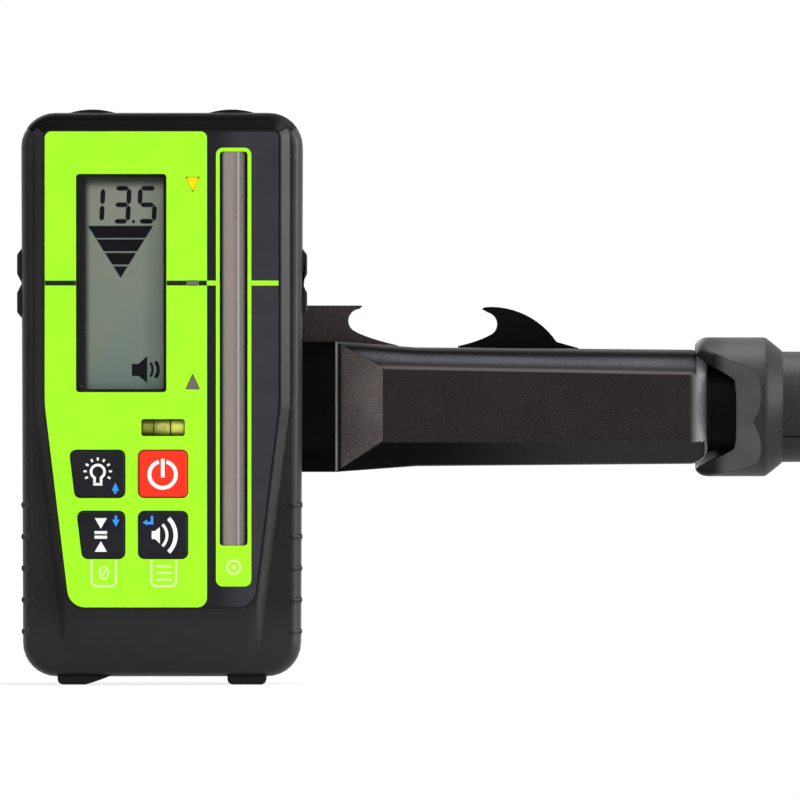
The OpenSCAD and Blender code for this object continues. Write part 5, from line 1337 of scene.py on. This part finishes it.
# %% [markdown]
# ## A white floor
#
# The receiver stands on a plain white floor. A floor that is lit white would need strong lamps, so it shows
# white by itself when the camera, a mirror-like surface or glass looks at it. Near the object a quarter of
# it stays a plain grey-white surface, which takes the object's shadow.

# %% Floor
FLOOR_Z, FLOOR_HALF, FLOOR_POINTS = row_at("Z", 0), 3, 13
WHITE, GREY_WHITE = (1, 1, 1, 1), (0.85, 0.85, 0.85, 1)


def seen_directly(owner):
    """1 for rays from the camera, from gloss and through glass, and 0 for the rest."""
    rays = node(owner, "LightPath").outputs
    seen = sums(owner, "MAXIMUM", rays["Is Camera Ray"], rays["Is Glossy Ray"])
    return sums(owner, "MAXIMUM", seen, rays["Is Transmission Ray"])


side = np.linspace(-FLOOR_HALF, FLOOR_HALF, FLOOR_POINTS)
floor_points = np.stack([*np.meshgrid(side, side), np.full((FLOOR_POINTS, FLOOR_POINTS), FLOOR_Z)], -1)
corner = (np.arange(FLOOR_POINTS - 1)[:, None] * FLOOR_POINTS + np.arange(FLOOR_POINTS - 1)).ravel()
squares = np.stack([corner, corner + 1, corner + FLOOR_POINTS + 1, corner + FLOOR_POINTS], 1)
floor_mesh = bpy.data.meshes.new("floor")
floor_mesh.from_pydata(floor_points.reshape(-1, 3).tolist(), [], squares.tolist())
floor = bpy.data.objects.new("floor", floor_mesh)
bpy.context.scene.collection.objects.link(floor)
m = new_finish("studio_floor", base_color=GREY_WHITE, roughness=0.9, specular_ior_level=0.0)
nodes = m.node_tree.nodes
white = node(m, "Emission", {"Color": WHITE, "Strength": 1.0}).outputs[0]
fade = span(m, far_from(m, (0.0, 0.0, FLOOR_Z)), 0.1, 0.5, 0.75, 1.0, soft=True)
share = sums(m, "MULTIPLY", seen_directly(m), fade)
both = node(m, "MixShader", {0: share, 1: nodes["Principled BSDF"].outputs[0], 2: white}).outputs[0]
m.node_tree.links.new(both, nodes["Material Output"].inputs["Surface"])
floor_mesh.materials.append(m)
print("floor at", FLOOR_Z, "m")

# %% [markdown]
# ## World and lamps
#
# Dark plastic lives from what it mirrors, so the lamps are soft boxes, each placed where an edge mirrors it
# to the camera: one at the right for the case's slope, one above the arm, one at each side of the face, one
# high in front and one behind. Together with an even world they stay at a level at which the label keeps
# its colour.

# %% World and lamps
scene = bpy.context.scene
scene.view_settings.view_transform = "Standard"
world = bpy.data.worlds.new("studio")
scene.world = world
world.use_nodes = True
nodes = world.node_tree.nodes
nodes["Background"].inputs["Color"].default_value = (0.4, 0.4, 0.4, 1)
backdrop = node(world, "Background", {"Color": WHITE}).outputs[0]
choice = node(world, "MixShader", {0: seen_directly(world), 1: nodes["Background"].outputs[0], 2: backdrop})
world.node_tree.links.new(choice.outputs[0], nodes["World Output"].inputs["Surface"])


def lamp_at(name, place, aim, size, watts):
    """A soft box at a place, turned towards a point, that the camera doesn't see."""
    lamp = bpy.data.lights.new(name, "AREA")
    lamp.shape = "RECTANGLE"
    lamp.size, lamp.size_y = size
    lamp.energy = watts
    made = bpy.data.objects.new(name, lamp)
    scene.collection.objects.link(made)
    made.location = place
    away = made.location.copy()
    away.x, away.y, away.z = (p - a for p, a in zip(place, aim))
    made.rotation_euler = away.to_track_quat("Z", "Y").to_euler()
    made.visible_camera = False


FACE_AIM = (0.0, -0.06, 0.0)
lamp_at("side_light", (1.25, -0.02, 0.25), (0.0, -0.06, 0.02), (0.45, 0.6), 19)
lamp_at("arm_light", (0.13, 0.0, 0.26), (0.09, -0.01, 0.0), (0.16, 0.12), 1.0)
lamp_at("right_light", (1.5, -1.05, 0.45), FACE_AIM, (0.3, 0.45), 12)
lamp_at("left_light", (-1.1, -1.4, 0.35), FACE_AIM, (0.4, 0.5), 4.5)
lamp_at("brow_light", (0.2, -1.25, 1.3), FACE_AIM, (0.9, 0.14), 7.5)
lamp_at("back_light", (-0.5, 1.7, 0.75), (0.0, 0.0, 0.0), (0.9, 0.9), 13)

# %% [markdown]
# ## Camera
#
# The photograph was taken straight at the face from far away. A long lens does the same: at six metres the
# arm, which lies deeper than the face, comes out at nearly the same scale.

# %% Camera
DISTANCE, SENSOR, VIEW_WIDTH, VIEW_X, VIEW_Z = 6.0, 36.0, 235.3, 0.013, 0.002
camera_data = bpy.data.cameras.new("camera")
camera_data.sensor_width = SENSOR
camera_data.lens = SENSOR * DISTANCE * 1000 / VIEW_WIDTH
camera = bpy.data.objects.new("camera", camera_data)
scene.collection.objects.link(camera)
camera.location = (VIEW_X, row_at("Y", FACE_Y) - DISTANCE, VIEW_Z)
camera.rotation_euler = (radians(90), 0, 0)
scene.camera = camera
print("camera with a lens of", round(camera_data.lens, 1), "mm")
